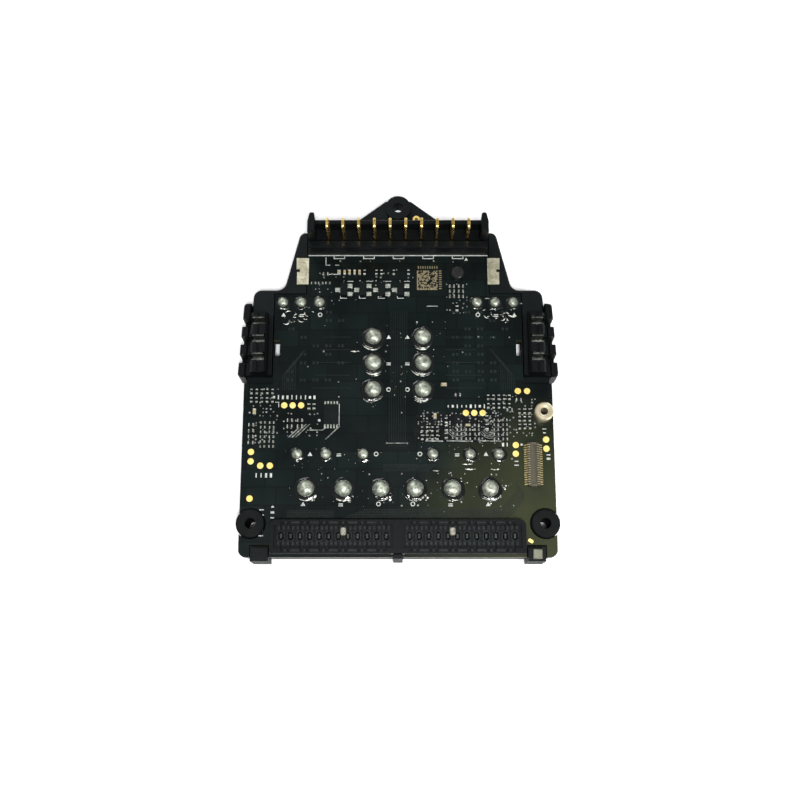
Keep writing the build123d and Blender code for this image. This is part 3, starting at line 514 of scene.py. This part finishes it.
# --- Flux varnish ---
# Flux left by hand soldering sets as a glassy black film round each joint, thick at the solder and
# wandering at its edge.
varnish = grainy(
    "set_flux", "0a0e0d", "020404", 1.1, 0.2, rough=(0.06, 0.2), cloud_mm=2, IOR=1.52, Specular_IOR_Level=0.5
)
shape = bmesh.new()
for number, (low, high, radius) in enumerate(joint_boxes):
    centre = (low + high) / 2
    corners = 48
    loops = []
    for n in range(6):
        t = n / 5
        loop = []
        for m in range(corners):
            turn = 2 * math.pi * m / corners
            way = Vector((math.cos(turn), math.sin(turn), 0))
            wander = noise.noise(way * 1.1 + Vector((0, 0, number * 2.3)))
            reach = radius * (1.3 + 0.3 * wander - 0.12 * way.y) + 0.15 * mm
            r = radius * 0.97 + (reach - radius * 0.97) * t
            swell = noise.noise(way * 2.6 + Vector((0, 0, number * 1.7 + t * 2)))
            rise = 0.12 * mm * (1 - t) ** 2 + 0.06 * mm * math.sin(math.pi * t) * (1 + 1.4 * swell)
            z = top + 0.015 * mm + max(0, rise)
            loop.append(shape.verts.new((centre.x + r * way.x, centre.y + r * way.y, z)))
        loops.append(loop)
    feet = [[shape.verts.new((v.co.x, v.co.y, top)) for v in loop] for loop in (loops[0], loops[-1])]
    bridge(shape, [feet[0]] + loops + [feet[1], feet[0]])
place("flux_film", shape, [varnish], smooth=True)

# --- Flux ridges and crumbs ---
# Where the flux ran to the front of a joint it dried in curved ridges, and beside some joints it
# broke into pale crumbs. Both are glassy and streaked whitish: partly pale dried flux, partly
# painted highlight for the glints on them.
flux_with_painted_glints, tree, shader, where = new_finish("flux_with_painted_glints", IOR=1.5, Coat_Weight=1.0, Coat_Roughness=0.08)
streak = add(tree, "ShaderNodeTexNoise", {"Vector": where, "Scale": per(0.5), "Detail": 4.0})
split = add(tree, "ShaderNodeMapRange", {"Value": streak.outputs["Fac"], "From Min": 0.4, "From Max": 0.58})
# Dark flux streaked with whitish tones that are partly painted glints.
flux_and_glint_tones = {"Factor": split.outputs[0], 6: linear("2b2f28"), 7: linear("f2f3e6")}
tint = add(tree, "ShaderNodeMix", flux_and_glint_tones, data_type="RGBA")
relief = add(
    tree, "ShaderNodeBump", {"Height": streak.outputs["Fac"], "Distance": 0.1 * mm, "Strength": 0.5}
)
shader.inputs["Roughness"].default_value = 0.3
tree.links.new(tint.outputs[2], shader.inputs["Base Color"])
tree.links.new(relief.outputs[0], shader.inputs["Normal"])


def ridge(shape, centre, radius, middle, sweep, width, height):
    """A curved ridge that tapers to both ends, on the board's top. Angles are in degrees."""
    loops = []
    steps = 14
    for n in range(steps + 1):
        t = n / steps
        turn = math.radians(middle - sweep / 2 + sweep * t)
        swell = max(0.04, math.sin(math.pi * t)) * (1 + 0.4 * noise.noise(Vector((t * 4, radius, middle))))
        loop = []
        for m in range(7):
            lean = math.pi * m / 6
            r = radius - width / 2 * swell * math.cos(lean)
            z = top + 0.005 * mm + height * swell * math.sin(lean) * mm
            x, y = centre[0] + r * math.cos(turn), centre[1] + r * math.sin(turn)
            loop.append(shape.verts.new((x * mm, y * mm, z)))
        loops.append(loop)
    bridge(shape, loops)
    shape.faces.new(loops[0])
    shape.faces.new(loops[-1][::-1])


def crumb(shape, x, y, size, height, seed):
    """A low lump with an uneven edge."""
    loops = []
    for share in (0, 0.35, 0.7, 0.93):
        loop = []
        for m in range(9):
            turn = 2 * math.pi * m / 9
            across, along = math.cos(turn), math.sin(turn)
            uneven = 1 + 0.45 * noise.noise(Vector((across * 1.5, along * 1.5, seed * 5.1)))
            reach = size / 2 * uneven * math.cos(math.pi / 2 * share)
            z = top + 0.005 * mm + height * math.sin(math.pi / 2 * share) * mm
            loop.append(shape.verts.new(((x + reach * across) * mm, (y + reach * along) * mm, z)))
        loops.append(loop)
    bridge(shape, loops)
    shape.faces.new(loops[0][::-1])
    shape.faces.new(loops[-1])


shape = bmesh.new()
spill = random.Random(5)
for number, (low, high, radius) in enumerate(joint_boxes):
    centre = (low + high) / 2 / mm
    size = radius / mm
    rear = centre.y > 26
    large = size > 1.4
    for n in range(3 if large and rear else 2 if large else 1):
        if not rear and spill.random() < 0.35:
            continue
        away = size * (1.22 + 0.2 * n) + spill.uniform(0, 0.12)
        middle = spill.uniform(-115, -65) + (8 if n % 2 else -8)
        ridge(shape, centre, away, middle, spill.uniform(45, 95), spill.uniform(0.16, 0.3), 0.1)
    # Crumbs thrown to the front right of the front joints, and all round the rightmost ones.
    if large and not rear:
        thrown = 5 if centre.x < 10 else 11
        for n in range(thrown):
            turn = math.radians(spill.gauss(-55, 22) if centre.x < 10 else spill.uniform(-190, 100))
            away = size * spill.uniform(1.25, 1.85)
            crumb(
                shape,
                centre.x + away * math.cos(turn),
                centre.y + away * math.sin(turn),
                spill.uniform(0.18, 0.75 if centre.x < 10 else 0.4),
                0.12,
                number * 20 + n,
            )
# Long pale runs, with painted glints, in front of the front right signal joints, and one beside the left rear
# joint.
pale_runs = ((14.8, 12.7, 2.4), (15.5, 11.6, 2.7), (20.9, 11.6, 2.3), (8.2, 11.3, 1.6), (-9.4, 37.9, 2.2))
for x, y, length in pale_runs:
    ridge(shape, (x, y + 9), 9, -90, math.degrees(length / 9), 0.32, 0.1)
# Fine spatter over the whole field, thicker near the joints; its pale specks are partly painted glints.
for n in range(230):
    low, high, radius = spill.choice(joint_boxes)
    x = (low.x + high.x) / 2 / mm + spill.gauss(0, 3.2)
    y = (low.y + high.y) / 2 / mm + spill.gauss(-0.6, 2.6)
    if abs(x) < 32 and 2.2 < y < 49 and (abs(x) < 25.5 or y < 30) and (abs(x) < 26.5 or y > 4.5):
        crumb(shape, x, y, spill.choice((0.08, 0.1, 0.13, 0.18)), 0.04, n)
for side in (-1, 1):
    for n in range(11):
        x = side * (19.2 + 0.55 * n) + spill.uniform(-0.2, 0.2)
        y = 46.1 - 0.12 * n + spill.uniform(-0.8, 0.7)
        turned = spill.uniform(-150, -30) if n % 3 else spill.uniform(20, 160)
        radius, sweep, width = spill.uniform(0.5, 1.1), spill.uniform(50, 130), spill.uniform(0.14, 0.24)
        ridge(shape, (x, y + 0.8), radius, turned, sweep, width, 0.08)
ridge(shape, (25.6, 47.6), 1.7, -105, 65, 0.42, 0.14)
place("flux_ridges", shape, [flux_with_painted_glints], smooth=True)

# --- White ink marks ---
# Screen-printed epoxy ink: chalky white, a little thin in places. It outlines the connector, and
# marks the joints and pads with plain bars, rings and wedges.
white_ink = grainy(
    "printed_white_ink", "dcdfd9", "8f9590", 0.25, 0.01, rough=(0.55, 0.75), cloud_mm=0.8, IOR=1.45
)
ink_rise = 0.03 * mm
line = 0.17
marks = []
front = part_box("battery_connector_housing")[0].y / mm - 0.16
marks.append(ribbon([(-20.15, front), (20.1, front)], 0.22))
for n in range(5):
    left, right = -14.4 + 6.65 * n, -12.0 + 6.65 * n
    tray = [(left, front), (left, front - 0.72), (right, front - 0.72), (right, front)]
    marks.append(ribbon(tray, line))
marks.append([(14.9, front - 1.2), (15.7, front - 1.2), (15.3, front - 0.5)])


def bars(x, y, count, step_x=0.95, step_y=0.0, seed=1):
    """A row of plain bars of mixed heights, as a generic label."""
    pick = random.Random(seed)
    for n in range(count):
        tall = pick.choice((0.55, 0.8, 0.95))
        wide = pick.choice((0.22, 0.22, 0.45))
        if step_y:
            marks.append(oblong(x + n * step_x, y + n * step_y, tall, wide))
        else:
            marks.append(oblong(x + n * step_x, y + n * step_y, wide, tall))


bars(-27.0, 27.5, 10, 0.98, seed=3)
bars(10.9, 25.5, 9, 0.98, seed=4)
bars(-30.3, 10.3, 4, 1.05, seed=5)
bars(-28.9, -2.6, 6, 0, 1.1, seed=6)
bars(-26.6, 1.2, 3, 0, 1.15, seed=7)
bars(31.6, 19.6, 2, 0, 0.85, seed=8)
bars(32.3, 13.9, 2, 0, 0.85, seed=9)
bars(25.4, 12.5, 2, 0, 0.85, seed=10)
bars(22.6, 17.0, 2, 0.9, seed=11)


def phase_mark(kind, x, y):
    """One of three plain signs that tell a motor's wires apart: a ring, a bar or a wedge."""
    if kind == 0:
        marks.extend(ring(x, y, 0.32, 0.5, 14))
    elif kind == 1:
        marks.append(oblong(x, y, 0.95, 0.2))
        marks.append(oblong(x, y - 0.4, 0.95, 0.2))
    else:
        marks.append([(x - 0.5, y - 0.42), (x + 0.5, y - 0.42), (x, y + 0.45)])


for low, high, radius in joint_boxes:
    centre = (low + high) / 2 / mm
    large = radius > 1.4 * mm
    side = math.copysign(1, centre.x)
    if large and centre.y > 20:
        phase_mark(round((centre.y - 29.4) / 6.0) % 3, side * 2.05, centre.y - 0.1)
    elif large:
        phase_mark(round((abs(centre.x) - 3.65) / 8.0) % 3, centre.x - 0.5, centre.y - 3.35)
    elif centre.y > 40:
        phase_mark(round((abs(centre.x) - 17.5) / 4.05) % 3, centre.x + 0.2, centre.y - 2.9)
    else:
        phase_mark(round((abs(centre.x) - 7.5) / 7.5) % 3, centre.x - side * 2.8, centre.y)

# Corner brackets round the transistors, and small outlines beside the chips.
for low, high in solids_of("rear_transistors"):
    x, y = ((low + high) / 2 / mm).xy
    marks.append(ribbon([(x - 0.75, y - 1.45), (x - 0.75, y - 1.95), (x + 0.7, y - 1.95)], 0.14))
    marks.append(ribbon([(x - 0.1, y + 0.75), (x - 0.1, y + 1.9)], 0.12))
    marks.append(ribbon([(x + 0.75, y + 2.05), (x + 2.1, y + 2.05)], 0.12))
marks.append(ribbon([(-16.2, 60.0), (-16.2, 58.1), (-15.2, 58.1)], 0.14))
marks.append(ribbon([(-14.1, 58.1), (-13.2, 58.1)], 0.14))
marks.append(ribbon([(-17.0, 55.9), (-13.5, 55.9), (-13.5, 57.0)], 0.16))
marks.append(oblong(26.6, 17.0, 0.42, 0.42))
chip_low, chip_high = [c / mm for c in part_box("level_shifter_chip")]
marks.append(dot(chip_low.x - 1.05, chip_low.y + 0.9, 0.3, 14))
beside = chip_high.x + 0.25
marks.append(ribbon([(beside, chip_low.y - 0.2), (beside, chip_high.y + 0.3)], 0.12))
marks.append(ribbon([(-25.9, 25.3), (-25.9, 26.4), (-26.7, 26.4)], 0.12))
for x, y in ((7.6, 48.4), (20.6, 50.2), (26.4, 49.0)):
    marks.append(oblong(x, y, 2.4, 0.12))
prisms("white_ink_marks", marks, top, top + ink_rise, white_ink)

# --- Grid patch ---
# A square of fine laser-marked dots where a board maker's tracking label would be. The cells are
# drawn at random, so they carry no code, and a row of ticks stands along two sides.
patch_ink = grainy(
    "laser_marked_ink", "968b6c", "61583f", 0.2, 0.01, rough=(0.5, 0.7), cloud_mm=0.7, IOR=1.45
)
cells = []
toss = random.Random(11)
cell = 0.27
patch_x, patch_y = 4.35, 52.35
count = 17
for column in range(count):
    for row in range(count):
        rail = column == 0 or row == 0
        if rail or toss.random() < 0.5:
            cells.append(oblong(patch_x + column * cell, patch_y + row * cell, cell * 0.96, cell * 0.96))
patch_side = count * cell
for n in range(9):
    along = 0.2 + n * 0.52
    cells.append(oblong(patch_x + along, patch_y + patch_side + 0.62, 0.22, 0.6))
    cells.append(oblong(patch_x + patch_side + 0.5, patch_y + along, 0.6, 0.22))
prisms("random_dot_patch", cells, top, top + ink_rise, patch_ink)

# --- Chip resistors and capacitors ---
# Rectangular chips soldered flat on two pads. Each has a ceramic body between wrapped tin ends,
# with a curved fillet of solder at both ends. Most bodies are near black, and a few are tan.
resistor_glaze = grainy(
    "resistor_glaze", "12191a", "060909", 0.15, 0.01, rough=(0.3, 0.45), cloud_mm=0.6,
    Specular_IOR_Level=0.2,
)
capacitor_body = grainy(
    "capacitor_ceramic", "b3a478", "857347", 0.12, 0.01, rough=(0.4, 0.55), cloud_mm=0.7, IOR=1.6
)
chip_end = grainy(
    "tinned_chip_end", "dcdfd6", "666a63", 0.2, 0.03, rough=(0.34, 0.52), cloud_mm=0.5, Metallic=0.6
)
wrap_share = 0.2
body_inset = 0.02 * mm
fillet_reach = 0.13 * mm
tan_places = ((-31.1, 24.3), (10.0, 30.3), (8.0, 23.3), (14.9, 22.0))


def brick(shape, low, high, finish, soft=0.05):
    """A box with softened edges, added to a bmesh."""
    size = high - low
    spot = Matrix.Translation((low + high) / 2) @ Matrix.Diagonal((*size, 1))
    made = bmesh.ops.create_cube(shape, size=1, matrix=spot)
    edges = dict.fromkeys(e for v in made["verts"] for e in v.link_edges)
    cut = bmesh.ops.bevel(
        shape,
        geom=list(edges),
        offset=min(soft * mm, min(size) * 0.3),
        segments=2,
        profile=0.5,
        affect="EDGES",
    )
    faces = set(cut["faces"]) | {f for v in cut["verts"] for f in v.link_faces}
    for face in faces:
        face.material_index = finish


def fillet_of_solder(shape, low, high, axis, way, finish):
    """A solder fillet that slopes from a chip's end face down to its pad."""
    out = high[axis] if way > 0 else low[axis]
    other = 1 - axis
    half = (high[other] - low[other]) / 2 * 0.92
    middle = (high[other] + low[other]) / 2
    rise = (high.z - low.z) * 0.7
    base = low.z
    rows = []
    for share in (0, 0.2, 0.45, 1):
        along = out + way * fillet_reach * share
        z = base + rise * (1 - share) ** 2.2 + 0.025 * mm
        rows.append((along, z))
    loops = []
    for side in (-1, 1):
        loop = []
        for along, z in rows + [(rows[-1][0], base), (out - way * 0.03 * mm, base)]:
            point = [0, 0, z]
            point[axis] = along
            point[other] = middle + side * half
            loop.append(shape.verts.new(point))
        loops.append(loop)
    count = len(loops[0])
    made = [shape.faces.new(loops[0]), shape.faces.new(loops[1][::-1])]
    for n in range(count):
        m = (n + 1) % count
        made.append(shape.faces.new((loops[0][n], loops[1][n], loops[1][m], loops[0][m])))
    for face in made:
        face.material_index = finish


def chips(name):
    """Detailed chips in place of one CAD group: body, wrapped ends and solder fillets."""
    shape = bmesh.new()
    for low, high in solids_of(name):
        axis = 0 if high.x - low.x > high.y - low.y else 1
        wrap = (high[axis] - low[axis]) * wrap_share
        inner_low, inner_high = low.copy(), high.copy()
        inner_low[axis] += wrap * 0.5
        inner_high[axis] -= wrap * 0.5
        inner_low[1 - axis] += body_inset
        inner_high[1 - axis] -= body_inset
        inner_high.z -= body_inset
        centre = (low + high) / 2 / mm
        tan = axis == 1 and -13.6 < centre.x < -8.2 and centre.y > 55
        tan = tan or any(math.hypot(centre.x - x, centre.y - y) < 0.9 for x, y in tan_places)
        brick(shape, inner_low, inner_high, 3 if tan else 0, 0.03)
        for way in (-1, 1):
            cap_low, cap_high = low.copy(), high.copy()
            if way > 0:
                cap_low[axis] = high[axis] - wrap
            else:
                cap_high[axis] = low[axis] + wrap
            brick(shape, cap_low, cap_high, 1, 0.06)
            fillet_of_solder(shape, low, high, axis, way, 2)
    place(f"{name}_detail", shape, [resistor_glaze, chip_end, solder, capacitor_body], replaced=[name])


chips("chip_resistors")
chips("chip_capacitors")

# --- Moulded chips ---
# Transistors, the level shifter and the chips under the board: black epoxy moulding compound,
# fine-grained and dull, squeezed hot round the metal frame that carries the legs.
moulding_compound = grainy(
    "epoxy_moulding_compound", "0b1314", "050809", 0.12, 0.02, rough=(0.5, 0.68), cloud_mm=2,
    Specular_IOR_Level=0.13,
)
moulded = ["rear_transistors", "level_shifter_chip", "motor_driver_chips", "main_processor"]
moulded += ["inertial_sensor", "pressure_sensor"]
moulded += [name for name in nodes if name.endswith("_motor_switches")]
finish_nodes(moulding_compound, *moulded)

# --- Chip legs ---
# Stamped and tinned legs, each sunk in a wet-looking foot of solder on its pad.
finish_nodes(chip_end, "rear_transistor_legs", "level_shifter_leads")
shape = bmesh.new()
feet = (("rear_transistor_legs", 0.03, 0.14, 0.1), ("level_shifter_leads", 0.04, 0.1, 0.08))
for name, wider, height, soft in feet:
    grow = Vector((wider, 0.1, 0)) * mm
    for low, high in solids_of(name):
        brick(shape, low - grow, Vector((high.x, high.y, low.z + height * mm)) + grow, 0, soft)
place("leg_solder", shape, [solder])

# --- Battery connector ---
# One black moulding in glass-filled liquid-crystal polymer, pressed on the board over its blades'
# tails: smoother than the carrier, with a soft satin face. The sockets are moulded in the same.
connector_polymer = grainy(
    "moulded_connector_polymer", "060b0c", "010304", 0.3, 0.02, rough=(0.36, 0.52), cloud_mm=5, IOR=1.55,
    Specular_IOR_Level=0.12,
)
finish_nodes(
    connector_polymer,
    "battery_connector_housing",
    "front_socket_housing",
    "left_side_socket_housing",
    "right_side_socket_housing",
)

# --- Well lips ---
# A low rounded lip stands round each contact well on the front socket's floor, part of the same
# moulding, with plain pads between the wells and the rails. Lips and pads are coloured lighter
# than the moulding, as painted sheen.
socket_low, socket_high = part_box("front_socket_housing")
bay_floor = socket_low.z + 1.7 * mm
well_half_width = 0.6
well_straight = 0.38
lip = 0.17
wells_in_a_bay = 12
# Lighter connector polymer: painted sheen on the lips and pads, painted highlight on the rail tops.
sheen_painted_polymer = grainy(
    "connector_polymer_with_painted_sheen", "1f2828", "0a1011", 0.3, 0.02, rough=(0.3, 0.45), cloud_mm=2, IOR=1.55,
    Specular_IOR_Level=0.2,
)
lips = []
pads = []
wells = [box for name in ("left_bay_contacts", "right_bay_contacts") for box in solids_of(name)]
for low, high in wells:
    centre = (low + high) / 2 / mm
    turns = [2 * math.pi * n / 20 for n in range(21)]
    for a, b in zip(turns, turns[1:]):
        corner = []
        for turn, grow in ((a, 0), (a, lip), (b, lip), (b, 0)):
            across = well_half_width + grow
            stretch = math.copysign(well_straight, math.sin(turn + 1e-6))
            corner.append((centre.x + across * math.cos(turn), centre.y + stretch + across * math.sin(turn)))
        if math.copysign(1, math.sin(a + 1e-6)) == math.copysign(1, math.sin(b + 1e-6)):
            lips.append(corner)
    for side in (-1, 1):
        lips.append(oblong(centre.x + side * (well_half_width + lip / 2), centre.y, lip, 2 * well_straight))
        pads.append(oblong(centre.x + side * 0.52, centre.y + 1.72, 0.5, 0.8))
        pads.append(oblong(centre.x + side * 0.52, centre.y - 1.55, 0.5, 0.7))
prisms("well_lips", lips, bay_floor, bay_floor + 0.16 * mm, sheen_painted_polymer)
prisms("bay_pads", pads, bay_floor, bay_floor + 0.1 * mm, sheen_painted_polymer)

# --- Rail tops ---
# The rails' tops carry painted highlights in a lighter colour: long stretches between the
# notches, and small posts inside each pair.
rails = []
pitch = (wells[1][0].x - wells[0][0].x) / mm
rail_middles = (socket_high.y / mm - 0.62, socket_low.y / mm + 0.62)
pairs = wells_in_a_bay // 2
for bay in (wells[:wells_in_a_bay], wells[wells_in_a_bay:]):
    first = (bay[0][0].x + bay[0][1].x) / 2 / mm
    for n in range(pairs):
        post = first + (2 * n + 0.5) * pitch
        for y in rail_middles:
            rails.append(dot(post, y, 0.24, 10))
            if n < pairs - 1:
                rails.append(oblong(post + pitch, y, 1.9, 0.34))
low, high = socket_high.z - 0.001 * mm, socket_high.z + 0.02 * mm
prisms("rail_tops_with_painted_highlight", rails, low, high, sheen_painted_polymer)

# --- Latch tab ---
# A small tab of pale unfilled nylon clipped on the right front hook. It's waxy, and a little dirty
# in its grain.
tab_nylon = grainy("tab_nylon", "7d7e6a", "4c4e40", 0.4, 0.03, rough=(0.4, 0.55), cloud_mm=1.5, IOR=1.53)
finish_nodes(tab_nylon, "latch_tab")

# --- Contact blades ---
# Stamped copper alloy with a thick bright gold plating. The crowns are burnished by the battery's
# springs, and a fine grain from rolling runs up each side.
blade_gold, tree, shader, where = new_finish("plated_contact_gold", Metallic=1.0)
stretch = add(tree, "ShaderNodeMapping", {"Vector": where, "Scale": (1.0, 1.0, 0.06)})
grain = add(tree, "ShaderNodeTexNoise", {"Vector": stretch.outputs[0], "Scale": per(0.12), "Detail": 3.0})
wear = add(tree, "ShaderNodeTexNoise", {"Vector": where, "Scale": per(0.9), "Detail": 4.0})
golds = {"Factor": wear.outputs["Fac"], 6: linear("c99a35"), 7: linear("fbe69a")}
tint = add(tree, "ShaderNodeMix", golds, data_type="RGBA")
from_wear = {"Value": wear.outputs["Fac"], "From Min": 0.3, "From Max": 0.7}
gloss = add(tree, "ShaderNodeMapRange", {**from_wear, "To Min": 0.16, "To Max": 0.34})
relief = add(
    tree, "ShaderNodeBump", {"Height": grain.outputs["Fac"], "Distance": 0.01 * mm, "Strength": 0.5}
)
tree.links.new(tint.outputs[2], shader.inputs["Base Color"])
tree.links.new(gloss.outputs[0], shader.inputs["Roughness"])
tree.links.new(relief.outputs[0], shader.inputs["Normal"])
finish_nodes(blade_gold, *[name for name in nodes if name.startswith("contact_blade")])

# --- Ground clips ---
# Thin spring plates that bridge the board and the carrier, plated in dull pale gold that has
# tarnished in patches.
dull_gold = grainy(
    "dull_gold_plate", "d6d4bf", "9c987d", 0.3, 0.03, rough=(0.4, 0.55), cloud_mm=2, Metallic=0.75
)
finish_nodes(dull_gold, "left_ground_clip", "right_ground_clip")

# --- Spring contacts ---
# Folded strips of bronze with matt tin in the side sockets' bays, and dark sulphided sockets at
# the bottom of the front socket's wells.
# The tin swings in small flecks between near black and pale: painted glints.
tin_with_painted_glints = grainy(
    "tin_plate_with_painted_glints", "a9aca6", "121413", 0.2, 0.02, rough=(0.3, 0.5), cloud_mm=0.9, Metallic=1.0
)
finish_nodes(tin_with_painted_glints, "left_side_socket_contacts", "right_side_socket_contacts")
dark_bronze = grainy(
    "sulphided_bronze", "474b47", "202321", 0.2, 0.03, rough=(0.4, 0.55), cloud_mm=1, Metallic=0.8
)
finish_nodes(dark_bronze, "left_bay_contacts", "right_bay_contacts")

# --- Polarising keys ---
# Pale unfilled nylon pegs, slightly waxy, one pressed in each bay of the front socket.
waxy_nylon = grainy("unfilled_nylon", "a3a193", "6f6d60", 0.3, 0.02, rough=(0.4, 0.55), cloud_mm=1, IOR=1.53)
finish_nodes(waxy_nylon, "polarising_keys")

# --- Grommets ---
# Moulded black rubber with a powdery bloom, which keeps motor shake away from the board.
bloomed_rubber = grainy(
    "bloomed_rubber", "0a100f", "030606", 0.25, 0.04, rough=(0.6, 0.8), cloud_mm=2,
    Specular_IOR_Level=0.15,
)
finish_nodes(bloomed_rubber, "left_corner_grommet", "right_corner_grommet")

# --- Standoff ---
# Turned brass, tin-flashed: pale gold, with the lathe's fine rings round its axis.
standoff_low, standoff_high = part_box("threaded_standoff")
axis_at = (standoff_low + standoff_high) / 2
lathe_ring_mm = 0.16
turned_brass, tree, shader, where = new_finish("turned_brass", Metallic=0.85)
from_axis = {0: where, 1: (axis_at.x, axis_at.y, 0)}
centred = add(tree, "ShaderNodeVectorMath", from_axis, operation="SUBTRACT")
flat = add(tree, "ShaderNodeVectorMath", {0: centred.outputs[0], 1: (1, 1, 0)}, operation="MULTIPLY")
spread = add(tree, "ShaderNodeVectorMath", {0: flat.outputs[0]}, operation="LENGTH")
pass_of_the_tool = {0: spread.outputs["Value"], 1: 2 * math.pi * per(lathe_ring_mm)}
turn = add(tree, "ShaderNodeMath", pass_of_the_tool, operation="MULTIPLY")
rings = add(tree, "ShaderNodeMath", {0: turn.outputs[0]}, operation="SINE")
stain = add(tree, "ShaderNodeTexNoise", {"Vector": where, "Scale": per(1.5), "Detail": 4.0})
stains = {"Factor": stain.outputs["Fac"], 6: linear("d6c592"), 7: linear("fff9e2")}
tint = add(tree, "ShaderNodeMix", stains, data_type="RGBA")
relief = add(
    tree, "ShaderNodeBump", {"Height": rings.outputs[0], "Distance": 0.008 * mm, "Strength": 0.5}
)
shader.inputs["Roughness"].default_value = 0.28
tree.links.new(tint.outputs[2], shader.inputs["Base Color"])
tree.links.new(relief.outputs[0], shader.inputs["Normal"])
finish_nodes(turned_brass, "threaded_standoff")

# --- Fine socket ---
# The narrow board-to-board socket: dark heat-proof polymer with a tan strip down its groove. Two
# combs of fine contacts, flashed with thin dull gold, climb its sides and lie along its top.
flash_gold = grainy(
    "flash_gold", "cdbd88", "6f6542", 0.1, 0.01, rough=(0.32, 0.5), cloud_mm=0.6, Metallic=0.8
)
finish_nodes(flash_gold, "mezzanine_contacts")
fine_low, fine_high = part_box("mezzanine_housing")
fine_x = (fine_low.x + fine_high.x) / 2
strip_half_width = 0.6 * mm
two_tone, tree, shader, where = new_finish("two_tone_polymer", IOR=1.55, Roughness=0.5)
side_way = add(tree, "ShaderNodeSeparateXYZ", {"Vector": where})
offset = add(tree, "ShaderNodeMath", {0: side_way.outputs["X"], 1: fine_x}, operation="SUBTRACT")
away = add(tree, "ShaderNodeMath", {0: offset.outputs[0]}, operation="ABSOLUTE")
outer = add(tree, "ShaderNodeMath", {0: away.outputs[0], 1: strip_half_width}, operation="GREATER_THAN")
grain = add(tree, "ShaderNodeTexNoise", {"Vector": where, "Scale": per(0.3), "Detail": 4.0})
tans = {"Factor": grain.outputs["Fac"], 6: linear("2e2a1c"), 7: linear("59533b")}
strip = add(tree, "ShaderNodeMix", tans, data_type="RGBA")
parted = {"Factor": outer.outputs[0], 6: strip.outputs[2], 7: linear("15150f")}
tone = add(tree, "ShaderNodeMix", parted, data_type="RGBA")
tree.links.new(tone.outputs[2], shader.inputs["Base Color"])
finish_nodes(two_tone, "mezzanine_housing")
fingers = []
for low, high in solids_of("mezzanine_contacts"):
    if high.z - low.z > 0.5 * mm:
        middle_y = (low.y + high.y) / 2 / mm
        side = math.copysign(1, low.x - fine_x)
        fingers.append(oblong(fine_x / mm + side * 0.95, middle_y, 0.5, 0.15))
prisms("fine_fingers", fingers, fine_high.z - 0.01 * mm, fine_high.z + 0.03 * mm, flash_gold)

# --- Parts under the board ---
# Tantalum capacitors, ferrite inductors, shunts and the clock crystal hang under the board, out
# of sight in the carrier. The choke on the neck is of varnished ferrite.
finish_nodes(capacitor_body, "under_chip_capacitors")
tantalum = grainy("tantalum_moulding", "5b4a2c", "33291a", 0.15, 0.02, rough=(0.45, 0.6), cloud_mm=3, IOR=1.5)
finish_nodes(tantalum, "supply_capacitors")
ferrite = grainy("pressed_ferrite", "34383a", "1c1f20", 0.25, 0.05, rough=(0.5, 0.7), cloud_mm=2, IOR=1.8)
finish_nodes(ferrite, "supply_inductors")
black_ferrite = grainy(
    "varnished_ferrite", "0c0f10", "030404", 0.4, 0.01, rough=(0.25, 0.42), cloud_mm=1.5, IOR=1.6
)
finish_nodes(black_ferrite, "wound_choke")
nickel = grainy("nickel_lid", "c9cbc9", "9b9d9c", 0.3, 0.01, rough=(0.25, 0.38), cloud_mm=1.5, Metallic=1.0)
finish_nodes(nickel, "clock_crystal", "current_shunts")

# --- Floor, light and camera ---
# A pale sheet under soft studio light, and a long lens looking steeply down on the board.
paper = grainy("pale_sheet", "ffffff", "fafafa", 2.0, 0.0, rough=(0.75, 0.85), cloud_mm=60)
floor_mesh = bpy.data.meshes.new("floor")
sheet_half = 3.0
corners = [(x * sheet_half, y * sheet_half, 0) for x, y in ((-1, -1), (1, -1), (1, 1), (-1, 1))]
floor_mesh.from_pydata(corners, [], [(0, 1, 2, 3)])
floor_mesh.materials.append(paper)
floor = bpy.data.objects.new("floor", floor_mesh)
bpy.context.scene.collection.objects.link(floor)

scene = bpy.context.scene
scene.view_settings.view_transform = "Standard"
scene.world = bpy.data.worlds.new("studio")
scene.world.use_nodes = True
sky = scene.world.node_tree.nodes["Background"]
sky.inputs["Color"].default_value = (1, 1, 1, 1)
sky.inputs["Strength"].default_value = 0.34


def softbox(name, spot, aim, size, power):
    """A square area light at spot, turned to aim."""
    lamp = bpy.data.lights.new(name, "AREA")
    lamp.size = size
    lamp.energy = power
    stand = bpy.data.objects.new(name, lamp)
    stand.location = spot
    stand.rotation_euler = (Vector(aim) - Vector(spot)).to_track_quat("-Z", "Y").to_euler()
    scene.collection.objects.link(stand)


middle = (0, 0.03, 0)
softbox("overhead_softbox", (0.02, -0.12, 0.42), middle, 0.06, 1.6)
softbox("rear_softbox", (-0.2, 0.5, 0.4), middle, 0.3, 1.5)
softbox("front_softbox", (0.45, -0.4, 0.35), middle, 0.3, 1.3)
softbox("low_softbox", (0.13, -0.1, 0.12), (0.03, 0, 0.007), 0.05, 0.11)

lens = bpy.data.cameras.new("camera")
lens.sensor_width = 36
lens.lens = 47.6
camera = bpy.data.objects.new("camera", lens)
target = Vector((0.43, 26.9, 7.0)) * mm
camera.location = target + Vector((0, -55.6, 223.2)) * mm
camera.rotation_euler = (target - camera.location).to_track_quat("-Z", "Y").to_euler()
lens.clip_start = 0.01
scene.collection.objects.link(camera)
scene.camera = camera
